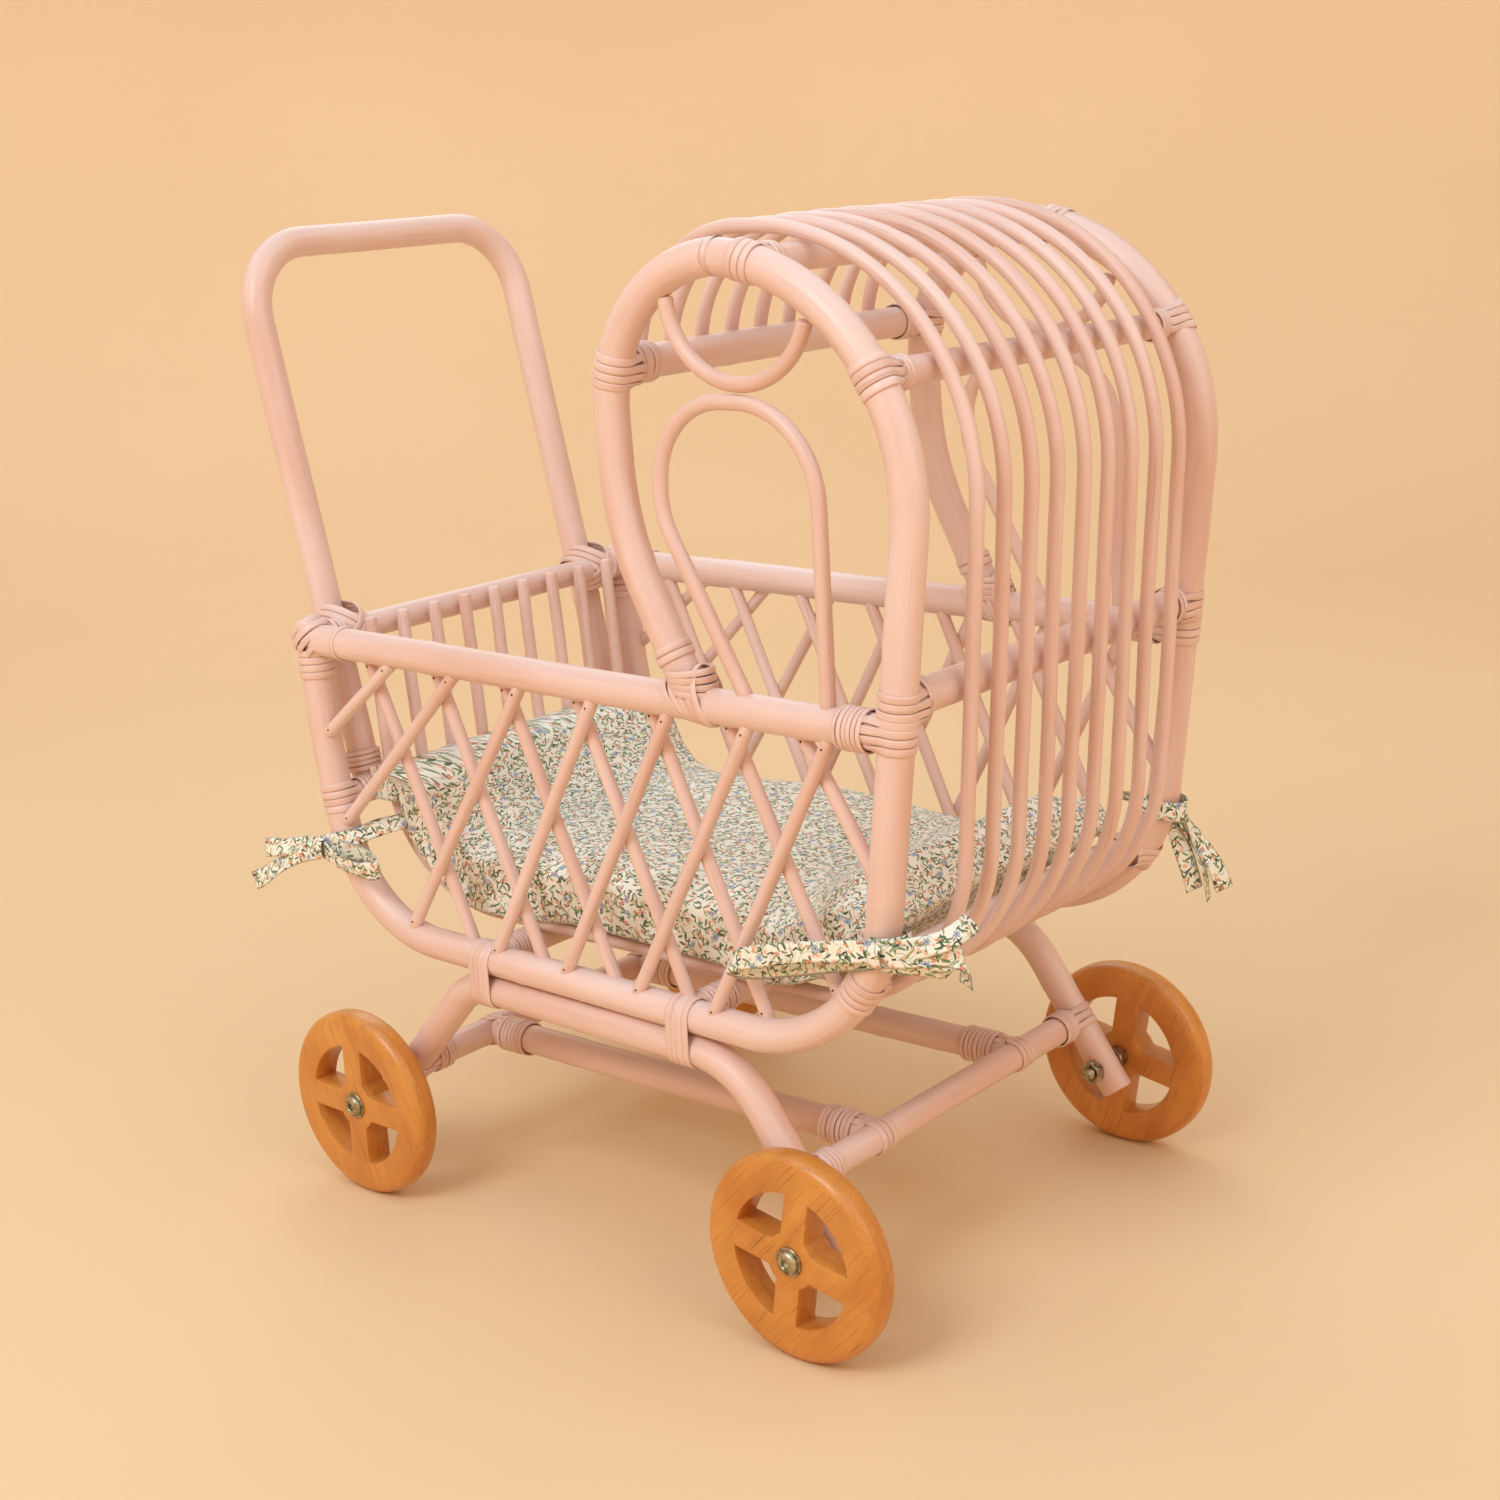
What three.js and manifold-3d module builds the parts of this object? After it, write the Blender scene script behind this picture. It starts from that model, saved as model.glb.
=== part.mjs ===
// Doll pram made of bent rattan poles and thin canes, with a ribbed hood, a tied-in mattress and
// four wooden wheels. Millimetres, +Z up. X runs across the pram, the hood end faces -Y and the
// handle end faces +Y. The finished group stands on z = 0 with its box centred on the origin.
import * as THREE from 'three';
import { mergeVertices } from 'three/addons/utils/BufferGeometryUtils.js';
import Module from 'manifold-3d';

const wasm = await Module();
wasm.setup();

// ---- driving dimensions ---------------------------------------------------------------------
const GAP = 0.3;                    // air left between pieces that touch on the real pram
const POLE_R = 9.75;                // main rattan poles: hoops, rails, chassis
const CANE_R = 4;                   // thin canes: hood ribs, floor, rear spindles, lattice
const LOOP_R = 4.25;                // decorative side loops
const HANDLE_R = 9.5;
const POLE_SIDES = 8;
const CANE_SIDES = 6;
const ARC_SAG = 1;                  // most that a straight piece of a bend strays from its arc

const SIDE_X = 140;                 // planes of the two side hoops
const RAIL_Z = 350;                 // top rail
const SILL_Z = 167.5;               // straight bottom run of the hoop
const FLOOR_Z = 181;                // floor canes
const HOOD_Z = 583.5;               // top of the hoop
const RIB_LIFT = 12.3;              // ribs run this far outside the hoop's centre line

const CANE_COUNT = 9;
const REAR_PITCH = 26.6;            // spacing of the canes at the rear
const FRONT_PITCH = 24.4;           // and, a little closer, at the hood

const WHEEL_R = 60;
const WHEEL_WIDTH = 17.6;
const WHEEL_FACETS = 40;
const WHEEL_INNER_X = 158.6;
const AXLE_Y = 177;
const AXLE_Z = WHEEL_R * Math.cos(Math.PI / WHEEL_FACETS);
const BORE_R = 4.6;
const SHANK_R = 3.8;
const BOLT_HOLE_R = 4.3;
const ROUND_SIDES = 12;             // facets of bolts, bores and bands
const SPOKE_HALF = 8;
const HUB_R = 16;
const OPENING_R = 39;

const CHASSIS_Z = SILL_Z - 2 * POLE_R - GAP;
const LEG_TAIL = 18;                // leg left below the axle
const STRETCHER_X = 71;
const BINDING_WIDTH = 15;
const BINDING_CLEAR = 1.6;
const BINDING_THICK = 1.5;
const BINDING_Y = [-80, 80];        // where hoop and chassis rail are bound together

const MATTRESS_HALF = 124;
const MATTRESS_THICK = 40;

const PINK = { color: 0xe3b5a6, roughness: 0.55, metalness: 0 };
const PALE_PINK = { color: 0xe8bfb0, roughness: 0.6, metalness: 0 };
const WOOD = { color: 0xc8792f, roughness: 0.45, metalness: 0 };
const STEEL = { color: 0xa89c86, roughness: 0.35, metalness: 0.9 };
const FLORAL = { color: 0xd9d2bd, roughness: 0.95, metalness: 0 };

// ---- paths ----------------------------------------------------------------------------------
// Corners are [a, b, bend radius]; the result is a list of Vector2 with each corner rounded.
function bend(corners) {
  const points = [new THREE.Vector2(corners[0][0], corners[0][1])];
  for (let i = 1; i < corners.length - 1; i += 1) {
    const corner = new THREE.Vector2(corners[i][0], corners[i][1]);
    const before = new THREE.Vector2(corners[i - 1][0], corners[i - 1][1]).sub(corner).normalize();
    const after = new THREE.Vector2(corners[i + 1][0], corners[i + 1][1]).sub(corner).normalize();
    const half = Math.acos(before.dot(after)) / 2;
    const radius = corners[i][2];
    const centre = before.clone().add(after).normalize().multiplyScalar(radius / Math.sin(half));
    centre.add(corner);
    const from = corner.clone().addScaledVector(before, radius / Math.tan(half)).sub(centre);
    const to = corner.clone().addScaledVector(after, radius / Math.tan(half)).sub(centre);
    let turn = to.angle() - from.angle();
    if (turn > Math.PI) turn -= 2 * Math.PI;
    if (turn < -Math.PI) turn += 2 * Math.PI;
    const stepAngle = 2 * Math.acos(1 - ARC_SAG / radius);
    const steps = Math.max(2, Math.ceil(Math.abs(turn) / stepAngle));
    for (let k = 0; k <= steps; k += 1) {
      points.push(from.clone().rotateAround(new THREE.Vector2(), (turn * k) / steps).add(centre));
    }
  }
  const last = corners[corners.length - 1];
  points.push(new THREE.Vector2(last[0], last[1]));
  return points;
}

const inSidePlane = (x) => (point) => new THREE.Vector3(x, point.x, point.y);

// A curve that passes through given points, one at each step of an extrusion.
class PoleLine extends THREE.Curve {
  constructor(points) {
    super();
    this.points = points;
  }

  getPoint(t) {
    const place = t * (this.points.length - 1);
    const index = Math.min(Math.floor(place + 1e-6), this.points.length - 2);
    return this.points[index].clone().lerp(this.points[index + 1], place - index);
  }

  getPointAt(u) {
    return this.getPoint(u);
  }

  getTangent(t) {
    const last = this.points.length - 1;
    const index = Math.round(t * last);
    const ahead = this.points[Math.min(index + 1, last)].clone().sub(this.points[index]).normalize();
    const behind = this.points[index].clone().sub(this.points[Math.max(index - 1, 0)]).normalize();
    return ahead.add(behind).normalize();
  }

  getTangentAt(u) {
    return this.getTangent(u);
  }
}

function roundSection(radius, sides) {
  const points = [];
  for (let i = 0; i < sides; i += 1) {
    const angle = ((i + 0.5) * 2 * Math.PI) / sides;
    points.push(new THREE.Vector2(radius * Math.cos(angle), radius * Math.sin(angle)));
  }
  return new THREE.Shape(points);
}

function tube(points, radius, sides) {
  return new THREE.ExtrudeGeometry(roundSection(radius, sides), {
    steps: points.length - 1,
    extrudePath: new PoleLine(points),
    bevelEnabled: false,
  });
}

function bar(from, to, radius, sides = POLE_SIDES) {
  return tube([new THREE.Vector3(...from), new THREE.Vector3(...to)], radius, sides);
}

// ---- solids ---------------------------------------------------------------------------------
function solid(geometry) {
  const bare = geometry.clone();
  bare.deleteAttribute('normal');
  bare.deleteAttribute('uv');
  const merged = mergeVertices(bare, 1e-4);
  return new wasm.Manifold(new wasm.Mesh({
    numProp: 3,
    vertProperties: new Float32Array(merged.attributes.position.array),
    triVerts: new Uint32Array(merged.index.array),
  }));
}

function geometryOf(manifold) {
  const mesh = manifold.getMesh();
  const geometry = new THREE.BufferGeometry();
  geometry.setAttribute('position', new THREE.BufferAttribute(mesh.vertProperties, 3));
  geometry.setIndex(new THREE.BufferAttribute(mesh.triVerts, 1));
  return geometry;
}

function box(low, high) {
  const size = high.map((value, axis) => value - low[axis]);
  const geometry = new THREE.BoxGeometry(...size);
  return geometry.translate(...low.map((value, axis) => value + size[axis] / 2));
}

// An outline in the (y, z) plane pushed through from x = from to x = to.
function sidePlate(outline, from, to) {
  const geometry = new THREE.ExtrudeGeometry(outline, {
    depth: to - from,
    bevelEnabled: false,
    curveSegments: 6,
  });
  const turn = new THREE.Matrix4().set(0, 0, 1, from, 1, 0, 0, 0, 0, 1, 0, 0, 0, 0, 0, 1);
  return geometry.applyMatrix4(turn);
}

const stroller = new THREE.Group();

function place(name, geometry, look) {
  const mesh = new THREE.Mesh(geometry, new THREE.MeshStandardMaterial(look));
  mesh.name = name;
  stroller.add(mesh);
  return mesh;
}

// ---- side hoops and top rails ---------------------------------------------------------------
// One bent pole each side: rear post, sill, front post, hood arch and back down onto the rail.
const REAR_POST = [[220, 362], [214, 281, 200], [193, SILL_Z, 80]];
const FRONT_POST = [[-211.5, SILL_Z, 97], [-257.5, HOOD_Z, 121]];
const ARCH_BACK = [[-47, HOOD_Z, 81], [-52.5, 438, 166], [-105, 338]];
const HOOP = bend([...REAR_POST, ...FRONT_POST, ...ARCH_BACK]);
const RAIL_REAR_Y = 209;            // the top rail's ends stop just short of the two posts
const RAIL_FRONT_Y = -220.4;
const ARCH_FOOT_Y = [-140, -50];    // where the hoop comes down on the rail

const SIDES = [['near', -1], ['far', 1]];

for (const [side, sign] of SIDES) {
  const x = sign * SIDE_X;
  const whole = solid(tube(HOOP.map(inSidePlane(x)), POLE_R, POLE_SIDES));
  const railTop = RAIL_Z + POLE_R + GAP;
  const low = [x - 2 * POLE_R, ARCH_FOOT_Y[0], railTop - 4 * POLE_R];
  const underFoot = solid(box(low, [x + 2 * POLE_R, ARCH_FOOT_Y[1], railTop]));
  place(`${side}_side_hoop`, geometryOf(whole.subtract(underFoot)), PINK);
  const rail = bar([x, RAIL_REAR_Y, RAIL_Z], [x, RAIL_FRONT_Y, RAIL_Z], POLE_R);
  place(`${side}_top_rail`, rail, PINK);
}

// ---- crossbars ------------------------------------------------------------------------------
// Name, y and z of the centre line, radius.
const CROSSBARS = [
  ['hood_rear_crossbar', -50.6, 526, 9.2],
  ['hood_top_crossbar', -148, 580.3, 7.6],
  ['hood_front_crossbar', -223.8, 526.4, 7.3],
  ['front_middle_crossbar', -232, 366, 9.4],
  ['front_bottom_crossbar', -198, 213, 7.2],
  ['rear_top_crossbar', 216.5, 351, 8.2],
  ['rear_bottom_crossbar', 207, 250, 7],
];

for (const [name, y, z, radius] of CROSSBARS) {
  const reach = SIDE_X - POLE_R - GAP;
  place(name, bar([-reach, y, z], [reach, y, z], radius), PINK);
}

const FLOOR_BAR_R = 8.3;
BINDING_Y.forEach((y, index) => {
  const reach = SIDE_X - POLE_R - BINDING_CLEAR - BINDING_THICK - GAP;
  const z = FLOOR_Z - CANE_R - FLOOR_BAR_R - GAP;
  const name = index === 0 ? 'front_floor_crossbar' : 'rear_floor_crossbar';
  place(name, bar([-reach, y, z], [reach, y, z], FLOOR_BAR_R), PINK);
});

// ---- basket canes ---------------------------------------------------------------------------
// Each cane is a rear spindle, a floor slat and a hood rib in one length.
const CANE_TOP_Z = HOOD_Z + RIB_LIFT;
const CANE = bend([
  [203, 359],
  [190, FLOOR_Z, 85],
  [-236.5, FLOOR_Z, 100],
  [-261.3, CANE_TOP_Z, 129],
  [-35.9, CANE_TOP_Z, 74],
  [-36.1, 519],
]);
const CANE_REAR_Y = CANE[0].x;
const CANE_FRONT_Y = Math.min(...CANE.map((point) => point.x));

// The place of a cane's point, where number counts the canes from the middle one.
function inBasket(number) {
  return (point) => {
    const share = (point.x - CANE_FRONT_Y) / (CANE_REAR_Y - CANE_FRONT_Y);
    const pitch = FRONT_PITCH + share * (REAR_PITCH - FRONT_PITCH);
    return new THREE.Vector3(number * pitch, point.x, point.y);
  };
}

for (let i = 0; i < CANE_COUNT; i += 1) {
  const line = CANE.map(inBasket(i - (CANE_COUNT - 1) / 2));
  place(`basket_cane_${i + 1}`, tube(line, CANE_R, CANE_SIDES), PALE_PINK);
}

// ---- lattice sides --------------------------------------------------------------------------
// Two layers of crossing canes inside the frame of hoop and top rail. Each cane is given by two
// points of its centre line (y, z) and is cut off where it meets the frame.
const LATTICE_OUTER = [
  [[147, 340], [213, 288]],
  [[91, 340], [203, 231]],
  [[35, 340], [141, 180]],
  [[-23, 340], [66, 180]],
  [[-80, 340], [8, 180]],
  [[-136, 340], [-49, 180]],
  [[-190, 340], [-106, 180]],
];
const LATTICE_INNER = [
  [[170, 340], [99, 180]],
  [[110, 340], [39, 180]],
  [[52, 340], [-20, 180]],
  [[-6, 340], [-77, 180]],
  [[-63, 340], [-135, 180]],
  [[-119, 340], [-185, 205]],
  [[-169, 340], [-213, 272]],
];
const LAYER_SHIFT = 3.2;             // the layers bite slightly into each other where they are nailed

function inset(points, distance) {
  return points.map((point, i) => {
    const before = points[Math.max(i - 1, 0)];
    const after = points[Math.min(i + 1, points.length - 1)];
    const along = after.clone().sub(before).normalize();
    return new THREE.Vector2(point.x + along.y * distance, point.y - along.x * distance);
  });
}

const FRONT_POST_MIDWAY = [-240, 425];
const WINDOW_TOP_Y = [207.15, -220.55];   // rear and front corners of the window under the rail

// The space that hoop and top rail enclose below the rail.
function latticeWindow() {
  const clear = POLE_R + GAP;
  const lower = inset(bend([...REAR_POST, FRONT_POST[0], FRONT_POST_MIDWAY]), clear);
  const top = RAIL_Z - clear;
  const under = lower.filter((point) => point.y < top - 1);
  const [rear, front] = WINDOW_TOP_Y.map((y) => new THREE.Vector2(y, top));
  return new THREE.Shape([rear, ...under, front]);
}

const WINDOW_HALF = 20;             // half thickness of the block that trims the canes
const CANE_OVERRUN = 40;            // canes start this much too long and are trimmed

for (const [side, sign] of SIDES) {
  const [low, high] = [sign * SIDE_X - WINDOW_HALF, sign * SIDE_X + WINDOW_HALF];
  let frame = solid(sidePlate(latticeWindow(), low, high));
  for (const y of BINDING_Y) {
    const half = BINDING_WIDTH / 2 + GAP;
    const top = SILL_Z + POLE_R + BINDING_CLEAR + BINDING_THICK + GAP;
    const notch = box([low - 1, y - half, SILL_Z], [high + 1, y + half, top]);
    frame = frame.subtract(solid(notch));
  }
  const canes = [];
  const addCane = (from, to, shift) => {
    const x = sign * (SIDE_X + shift);
    const start = new THREE.Vector3(x, ...from);
    const end = new THREE.Vector3(x, ...to);
    const along = end.clone().sub(start).normalize().multiplyScalar(CANE_OVERRUN);
    start.sub(along);
    end.add(along);
    canes.push(solid(tube([start, end], CANE_R, CANE_SIDES)).intersect(frame));
  };
  LATTICE_OUTER.forEach(([from, to]) => addCane(from, to, LAYER_SHIFT));
  LATTICE_INNER.forEach(([from, to]) => addCane(from, to, -LAYER_SHIFT));
  const panel = canes.reduce((joined, cane) => joined.add(cane));
  place(`${side}_lattice`, geometryOf(panel), PALE_PINK);
}

// ---- decorative loops in the arch -----------------------------------------------------------
const UPPER_LOOP_CENTRE = [-139, 567];
const UPPER_LOOP_R = 47;
const UPPER_LOOP_FROM = 202;        // degrees
const UPPER_LOOP_SWEEP = 149;
const UPPER_LOOP_STEPS = 8;
const UPPER_LOOP = [];
for (let i = 0; i <= UPPER_LOOP_STEPS; i += 1) {
  const degrees = UPPER_LOOP_FROM + (UPPER_LOOP_SWEEP * i) / UPPER_LOOP_STEPS;
  const arm = new THREE.Vector2(UPPER_LOOP_R, 0);
  arm.rotateAround(new THREE.Vector2(), THREE.MathUtils.degToRad(degrees));
  UPPER_LOOP.push(arm.add(new THREE.Vector2(...UPPER_LOOP_CENTRE)));
}
const LOWER_LOOP = bend([
  [-136, 362.6],
  [-81, 450, 45],
  [-84, 511, 45],
  [-187, 511, 50],
  [-189, 361],
]);

for (const [side, sign] of SIDES) {
  const across = inSidePlane(sign * SIDE_X);
  place(`${side}_upper_loop`, tube(UPPER_LOOP.map(across), LOOP_R, CANE_SIDES), PALE_PINK);
  place(`${side}_lower_loop`, tube(LOWER_LOOP.map(across), LOOP_R, CANE_SIDES), PALE_PINK);
}

// ---- push handle ----------------------------------------------------------------------------
// An inverted U in a plane that leans back; its legs stand on the rear bottom crossbar.
const HANDLE_HALF = 112;
const HANDLE_FOOT = [214.5, 261];   // y, z of the lower end
const HANDLE_TOP_Z = 586.5;
const HANDLE_LEAN = 0.222;          // rearward travel for each millimetre of height
const HANDLE_BEND = 46;

const HANDLE_RISE = HANDLE_TOP_Z - HANDLE_FOOT[1];

const handleOutline = bend([
  [-HANDLE_HALF, 0],
  [-HANDLE_HALF, HANDLE_RISE, HANDLE_BEND],
  [HANDLE_HALF, HANDLE_RISE, HANDLE_BEND],
  [HANDLE_HALF, 0],
]);
const handleLine = handleOutline.map((point) => new THREE.Vector3(
  point.x,
  HANDLE_FOOT[0] + point.y * HANDLE_LEAN,
  HANDLE_FOOT[1] + point.y,
));
place('push_handle', tube(handleLine, HANDLE_R, POLE_SIDES), PINK);

// ---- chassis --------------------------------------------------------------------------------
const FRONT_BEND_Y = -115;
const REAR_BEND_Y = 98;
const FRONT_LEG_BEND = 60;
const REAR_LEG_BEND = 40;

function pastAxle(bendY, axleY) {
  const along = new THREE.Vector2(axleY - bendY, AXLE_Z - CHASSIS_Z);
  const end = along.clone().setLength(along.length() + LEG_TAIL);
  return [bendY + end.x, CHASSIS_Z + end.y];
}

const CHASSIS = bend([
  pastAxle(REAR_BEND_Y, AXLE_Y),
  [REAR_BEND_Y, CHASSIS_Z, REAR_LEG_BEND],
  [FRONT_BEND_Y, CHASSIS_Z, FRONT_LEG_BEND],
  pastAxle(FRONT_BEND_Y, -AXLE_Y),
]);

for (const [side, sign] of SIDES) {
  const x = sign * SIDE_X;
  let rail = solid(tube(CHASSIS.map(inSidePlane(x)), POLE_R, POLE_SIDES));
  for (const y of [-AXLE_Y, AXLE_Y]) {
    const ends = [-2 * POLE_R, 2 * POLE_R].map((shift) => [x + shift, y, AXLE_Z]);
    rail = rail.subtract(solid(bar(...ends, BOLT_HOLE_R, ROUND_SIDES)));
  }
  place(`${side}_chassis_rail`, geometryOf(rail), PINK);
}

// The low crossbars butt between the legs, where the leg's centre line has the height given.
const LOW_BAR_R = 8.7;
const STRETCHER_R = 9.3;

function legY(bendY, axleY, z) {
  return bendY + ((axleY - bendY) * (CHASSIS_Z - z)) / (CHASSIS_Z - AXLE_Z);
}

const LOW_FRONT_Z = 87;
const LOW_REAR_Z = 80;
const LOW_FRONT = [legY(FRONT_BEND_Y, -AXLE_Y, LOW_FRONT_Z), LOW_FRONT_Z];
const LOW_REAR = [legY(REAR_BEND_Y, AXLE_Y, LOW_REAR_Z), LOW_REAR_Z];
const LOW_REACH = SIDE_X - POLE_R - GAP;
for (const [end, row] of [['front', LOW_FRONT], ['rear', LOW_REAR]]) {
  const crossbar = bar([-LOW_REACH, ...row], [LOW_REACH, ...row], LOW_BAR_R);
  place(`low_${end}_crossbar`, crossbar, PINK);
}

for (const [side, sign] of SIDES) {
  const x = sign * STRETCHER_X;
  const front = [x, LOW_FRONT[0] + LOW_BAR_R + 2 * GAP, LOW_FRONT[1]];
  const rear = [x, LOW_REAR[0] - LOW_BAR_R - 2 * GAP, LOW_REAR[1]];
  place(`${side}_stretcher`, bar(front, rear, STRETCHER_R), PINK);
}

// Wide rattan bindings that lash each hoop's sill to the chassis rail under it.
function stadium(radius, lowZ, highZ) {
  const shape = new THREE.Shape();
  shape.absarc(0, highZ, radius, 0, Math.PI);
  shape.absarc(0, lowZ, radius, Math.PI, 2 * Math.PI);
  return shape;
}

for (const [side, sign] of SIDES) {
  BINDING_Y.forEach((y, index) => {
    const inner = POLE_R + BINDING_CLEAR;
    const outline = stadium(inner + BINDING_THICK, CHASSIS_Z, SILL_Z);
    outline.holes.push(stadium(inner, CHASSIS_Z, SILL_Z));
    const sleeve = new THREE.ExtrudeGeometry(outline, {
      depth: BINDING_WIDTH,
      bevelEnabled: false,
      curveSegments: 4,
    });
    sleeve.rotateX(Math.PI / 2).translate(sign * SIDE_X, y + BINDING_WIDTH / 2, 0);
    const end = index === 0 ? 'front' : 'rear';
    place(`${side}_${end}_rail_binding`, sleeve, PALE_PINK);
  });
}

// ---- wheels, axle bolts and nuts ------------------------------------------------------------
function arcPoints(radius, fromAngle, toAngle, steps) {
  const points = [];
  for (let i = 0; i <= steps; i += 1) {
    const angle = fromAngle + ((toAngle - fromAngle) * i) / steps;
    points.push(new THREE.Vector2(radius * Math.cos(angle), radius * Math.sin(angle)));
  }
  return points;
}

function roundHole(radius) {
  const last = (2 * Math.PI * (ROUND_SIDES - 1)) / ROUND_SIDES;
  return new THREE.Path(arcPoints(radius, 0, last, ROUND_SIDES - 1));
}

function wheelShape(spokeTurn) {
  const facet = (2 * Math.PI) / WHEEL_FACETS;
  const rim = arcPoints(WHEEL_R, facet / 2, 2 * Math.PI - facet / 2, WHEEL_FACETS - 1);
  const shape = new THREE.Shape(rim);
  shape.holes.push(roundHole(BORE_R));
  const outer = Math.asin(SPOKE_HALF / OPENING_R);
  const inner = Math.asin(SPOKE_HALF / HUB_R);
  for (let quarter = 0; quarter < 4; quarter += 1) {
    const turn = spokeTurn + (quarter * Math.PI) / 2;
    const far = arcPoints(OPENING_R, turn + outer, turn + Math.PI / 2 - outer, 6);
    const close = arcPoints(HUB_R, turn + Math.PI / 2 - inner, turn + inner, 2);
    shape.holes.push(new THREE.Path([...far, ...close]));
  }
  return shape;
}

// A solid pushed out along +X from x = 0.
function pushedAcross(shape, depth) {
  return new THREE.ExtrudeGeometry(shape, { depth, bevelEnabled: false }).rotateY(Math.PI / 2);
}

function hexShape(acrossFlats, holeR) {
  const shape = new THREE.Shape(arcPoints(acrossFlats / Math.sqrt(3), 0, (5 * Math.PI) / 3, 5));
  shape.holes.push(roundHole(holeR));
  return shape;
}

const HEAD_R = 6.8;
const HEAD_H = 4;
const HEAD_EDGE = 1.2;              // height at which the button head starts to slope in
const SOCKET_R = 2.6;
const SOCKET_DEPTH = 2.4;
const BOLT_LENGTH = 58;

// Button-head bolt along Y with its head up, the underside of the head at y = 0.
function boltGeometry() {
  const profile = [
    [0, -BOLT_LENGTH],
    [SHANK_R, -BOLT_LENGTH],
    [SHANK_R, 0],
    [HEAD_R, 0],
    [HEAD_R, HEAD_EDGE],
    [HEAD_R - 2, HEAD_H],
    [SOCKET_R, HEAD_H],
    [SOCKET_R, HEAD_H - SOCKET_DEPTH],
    [0, HEAD_H - SOCKET_DEPTH],
  ];
  return new THREE.LatheGeometry(profile.map((pair) => new THREE.Vector2(...pair)), ROUND_SIDES);
}

const NUT_FLATS = 13;
const NUT_HOLE_R = SHANK_R + GAP;
const JAM_NUT_H = WHEEL_INNER_X - SIDE_X - POLE_R - 2 * GAP;
const LOCK_NUT_H = 7;
const SPOKE_TURN = THREE.MathUtils.degToRad(9);

for (const [side, sign] of SIDES) {
  for (const [end, y] of [['front', -AXLE_Y], ['rear', AXLE_Y]]) {
    const corner = `${side}_${end}`;
    const wheelX = sign > 0 ? WHEEL_INNER_X : -WHEEL_INNER_X - WHEEL_WIDTH;
    const spokeTurn = end === 'front' ? SPOKE_TURN : 0;
    const wheel = pushedAcross(wheelShape(spokeTurn), WHEEL_WIDTH);
    place(`${corner}_wheel`, wheel, WOOD).position.set(wheelX, y, AXLE_Z);

    const bolt = boltGeometry().rotateZ(-Math.PI / 2);
    const headX = WHEEL_INNER_X + WHEEL_WIDTH + GAP;
    const boltMesh = place(`${corner}_axle_bolt`, bolt, STEEL);
    boltMesh.position.set(sign * headX, y, AXLE_Z);
    boltMesh.rotation.z = sign > 0 ? 0 : Math.PI;

    const jam = pushedAcross(hexShape(NUT_FLATS, NUT_HOLE_R), JAM_NUT_H);
    const jamX = sign > 0 ? SIDE_X + POLE_R + GAP : -WHEEL_INNER_X + GAP;
    place(`${corner}_jam_nut`, jam, STEEL).position.set(jamX, y, AXLE_Z);

    const lock = pushedAcross(hexShape(NUT_FLATS, NUT_HOLE_R), LOCK_NUT_H);
    const lockInner = SIDE_X - POLE_R - GAP - LOCK_NUT_H;
    const lockX = sign > 0 ? lockInner : -lockInner - LOCK_NUT_H;
    place(`${corner}_lock_nut`, lock, STEEL).position.set(lockX, y, AXLE_Z);
  }
}

// ---- mattress -------------------------------------------------------------------------------
// A pad of even thickness that lies on the floor canes and curls up at both ends.
const PAD_BOTTOM = FLOOR_Z + CANE_R + 0.6;
const PAD_TOP = PAD_BOTTOM + MATTRESS_THICK;
const PAD_UNDERSIDE = bend([
  [184, 262],
  [175, 221, 14],
  [124, PAD_BOTTOM, 60],
  [-125, PAD_BOTTOM, 60],
  [-180, 205, 30],
  [-190, 224, 8],
  [-216, 232, 6],
  [-214, 260],
]);
const PAD_UPPERSIDE = [
  [-196, 264],
  [-160, 246],
  [-110, PAD_TOP + 4],
  [-60, PAD_TOP],
  [105, PAD_TOP],
  [138, PAD_TOP + 10],
  [170, 256],
];

const padOutline = new THREE.Shape([
  ...PAD_UNDERSIDE,
  ...PAD_UPPERSIDE.map((pair) => new THREE.Vector2(...pair)),
]);
place('mattress', sidePlate(padOutline, -MATTRESS_HALF, MATTRESS_HALF), FLORAL);

// ---- fabric ties ----------------------------------------------------------------------------
// Each tie is a band round a post, a strap back to the mattress and a flat bow outside the post.
const BAND_HALF = 6;
const BAND_THICK = 2.2;
const BAND_CLEAR = 1.7;
const STRAP_HALF = 5;
const STRAP_Z = [-3, -1];           // the strap's underside and top, from the band's middle
const TOUCH_IN = 0.6;               // strap and bow reach this far into the band
const BOW_THICK = 3.4;
const FRONT_POST_Y = -150;          // the hoop is its front post before this y

function hoopSpan(z, onRear) {
  for (let i = 0; i < HOOP.length - 1; i += 1) {
    const [a, b] = [HOOP[i], HOOP[i + 1]];
    const inside = (a.y - z) * (b.y - z) <= 0;
    if (inside && (onRear ? a.x > 0 : a.x < FRONT_POST_Y)) {
      const centre = a.clone().lerp(b, (z - a.y) / (b.y - a.y));
      return { centre, along: b.clone().sub(a).normalize() };
    }
  }
  throw new Error(`no post at height ${z}`);
}

function bandTube(sign, span, half, radius) {
  const ends = [-half, half].map((shift) => span.centre.clone().addScaledVector(span.along, shift));
  return solid(tube(ends.map(inSidePlane(sign * SIDE_X)), radius, ROUND_SIDES));
}

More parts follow.
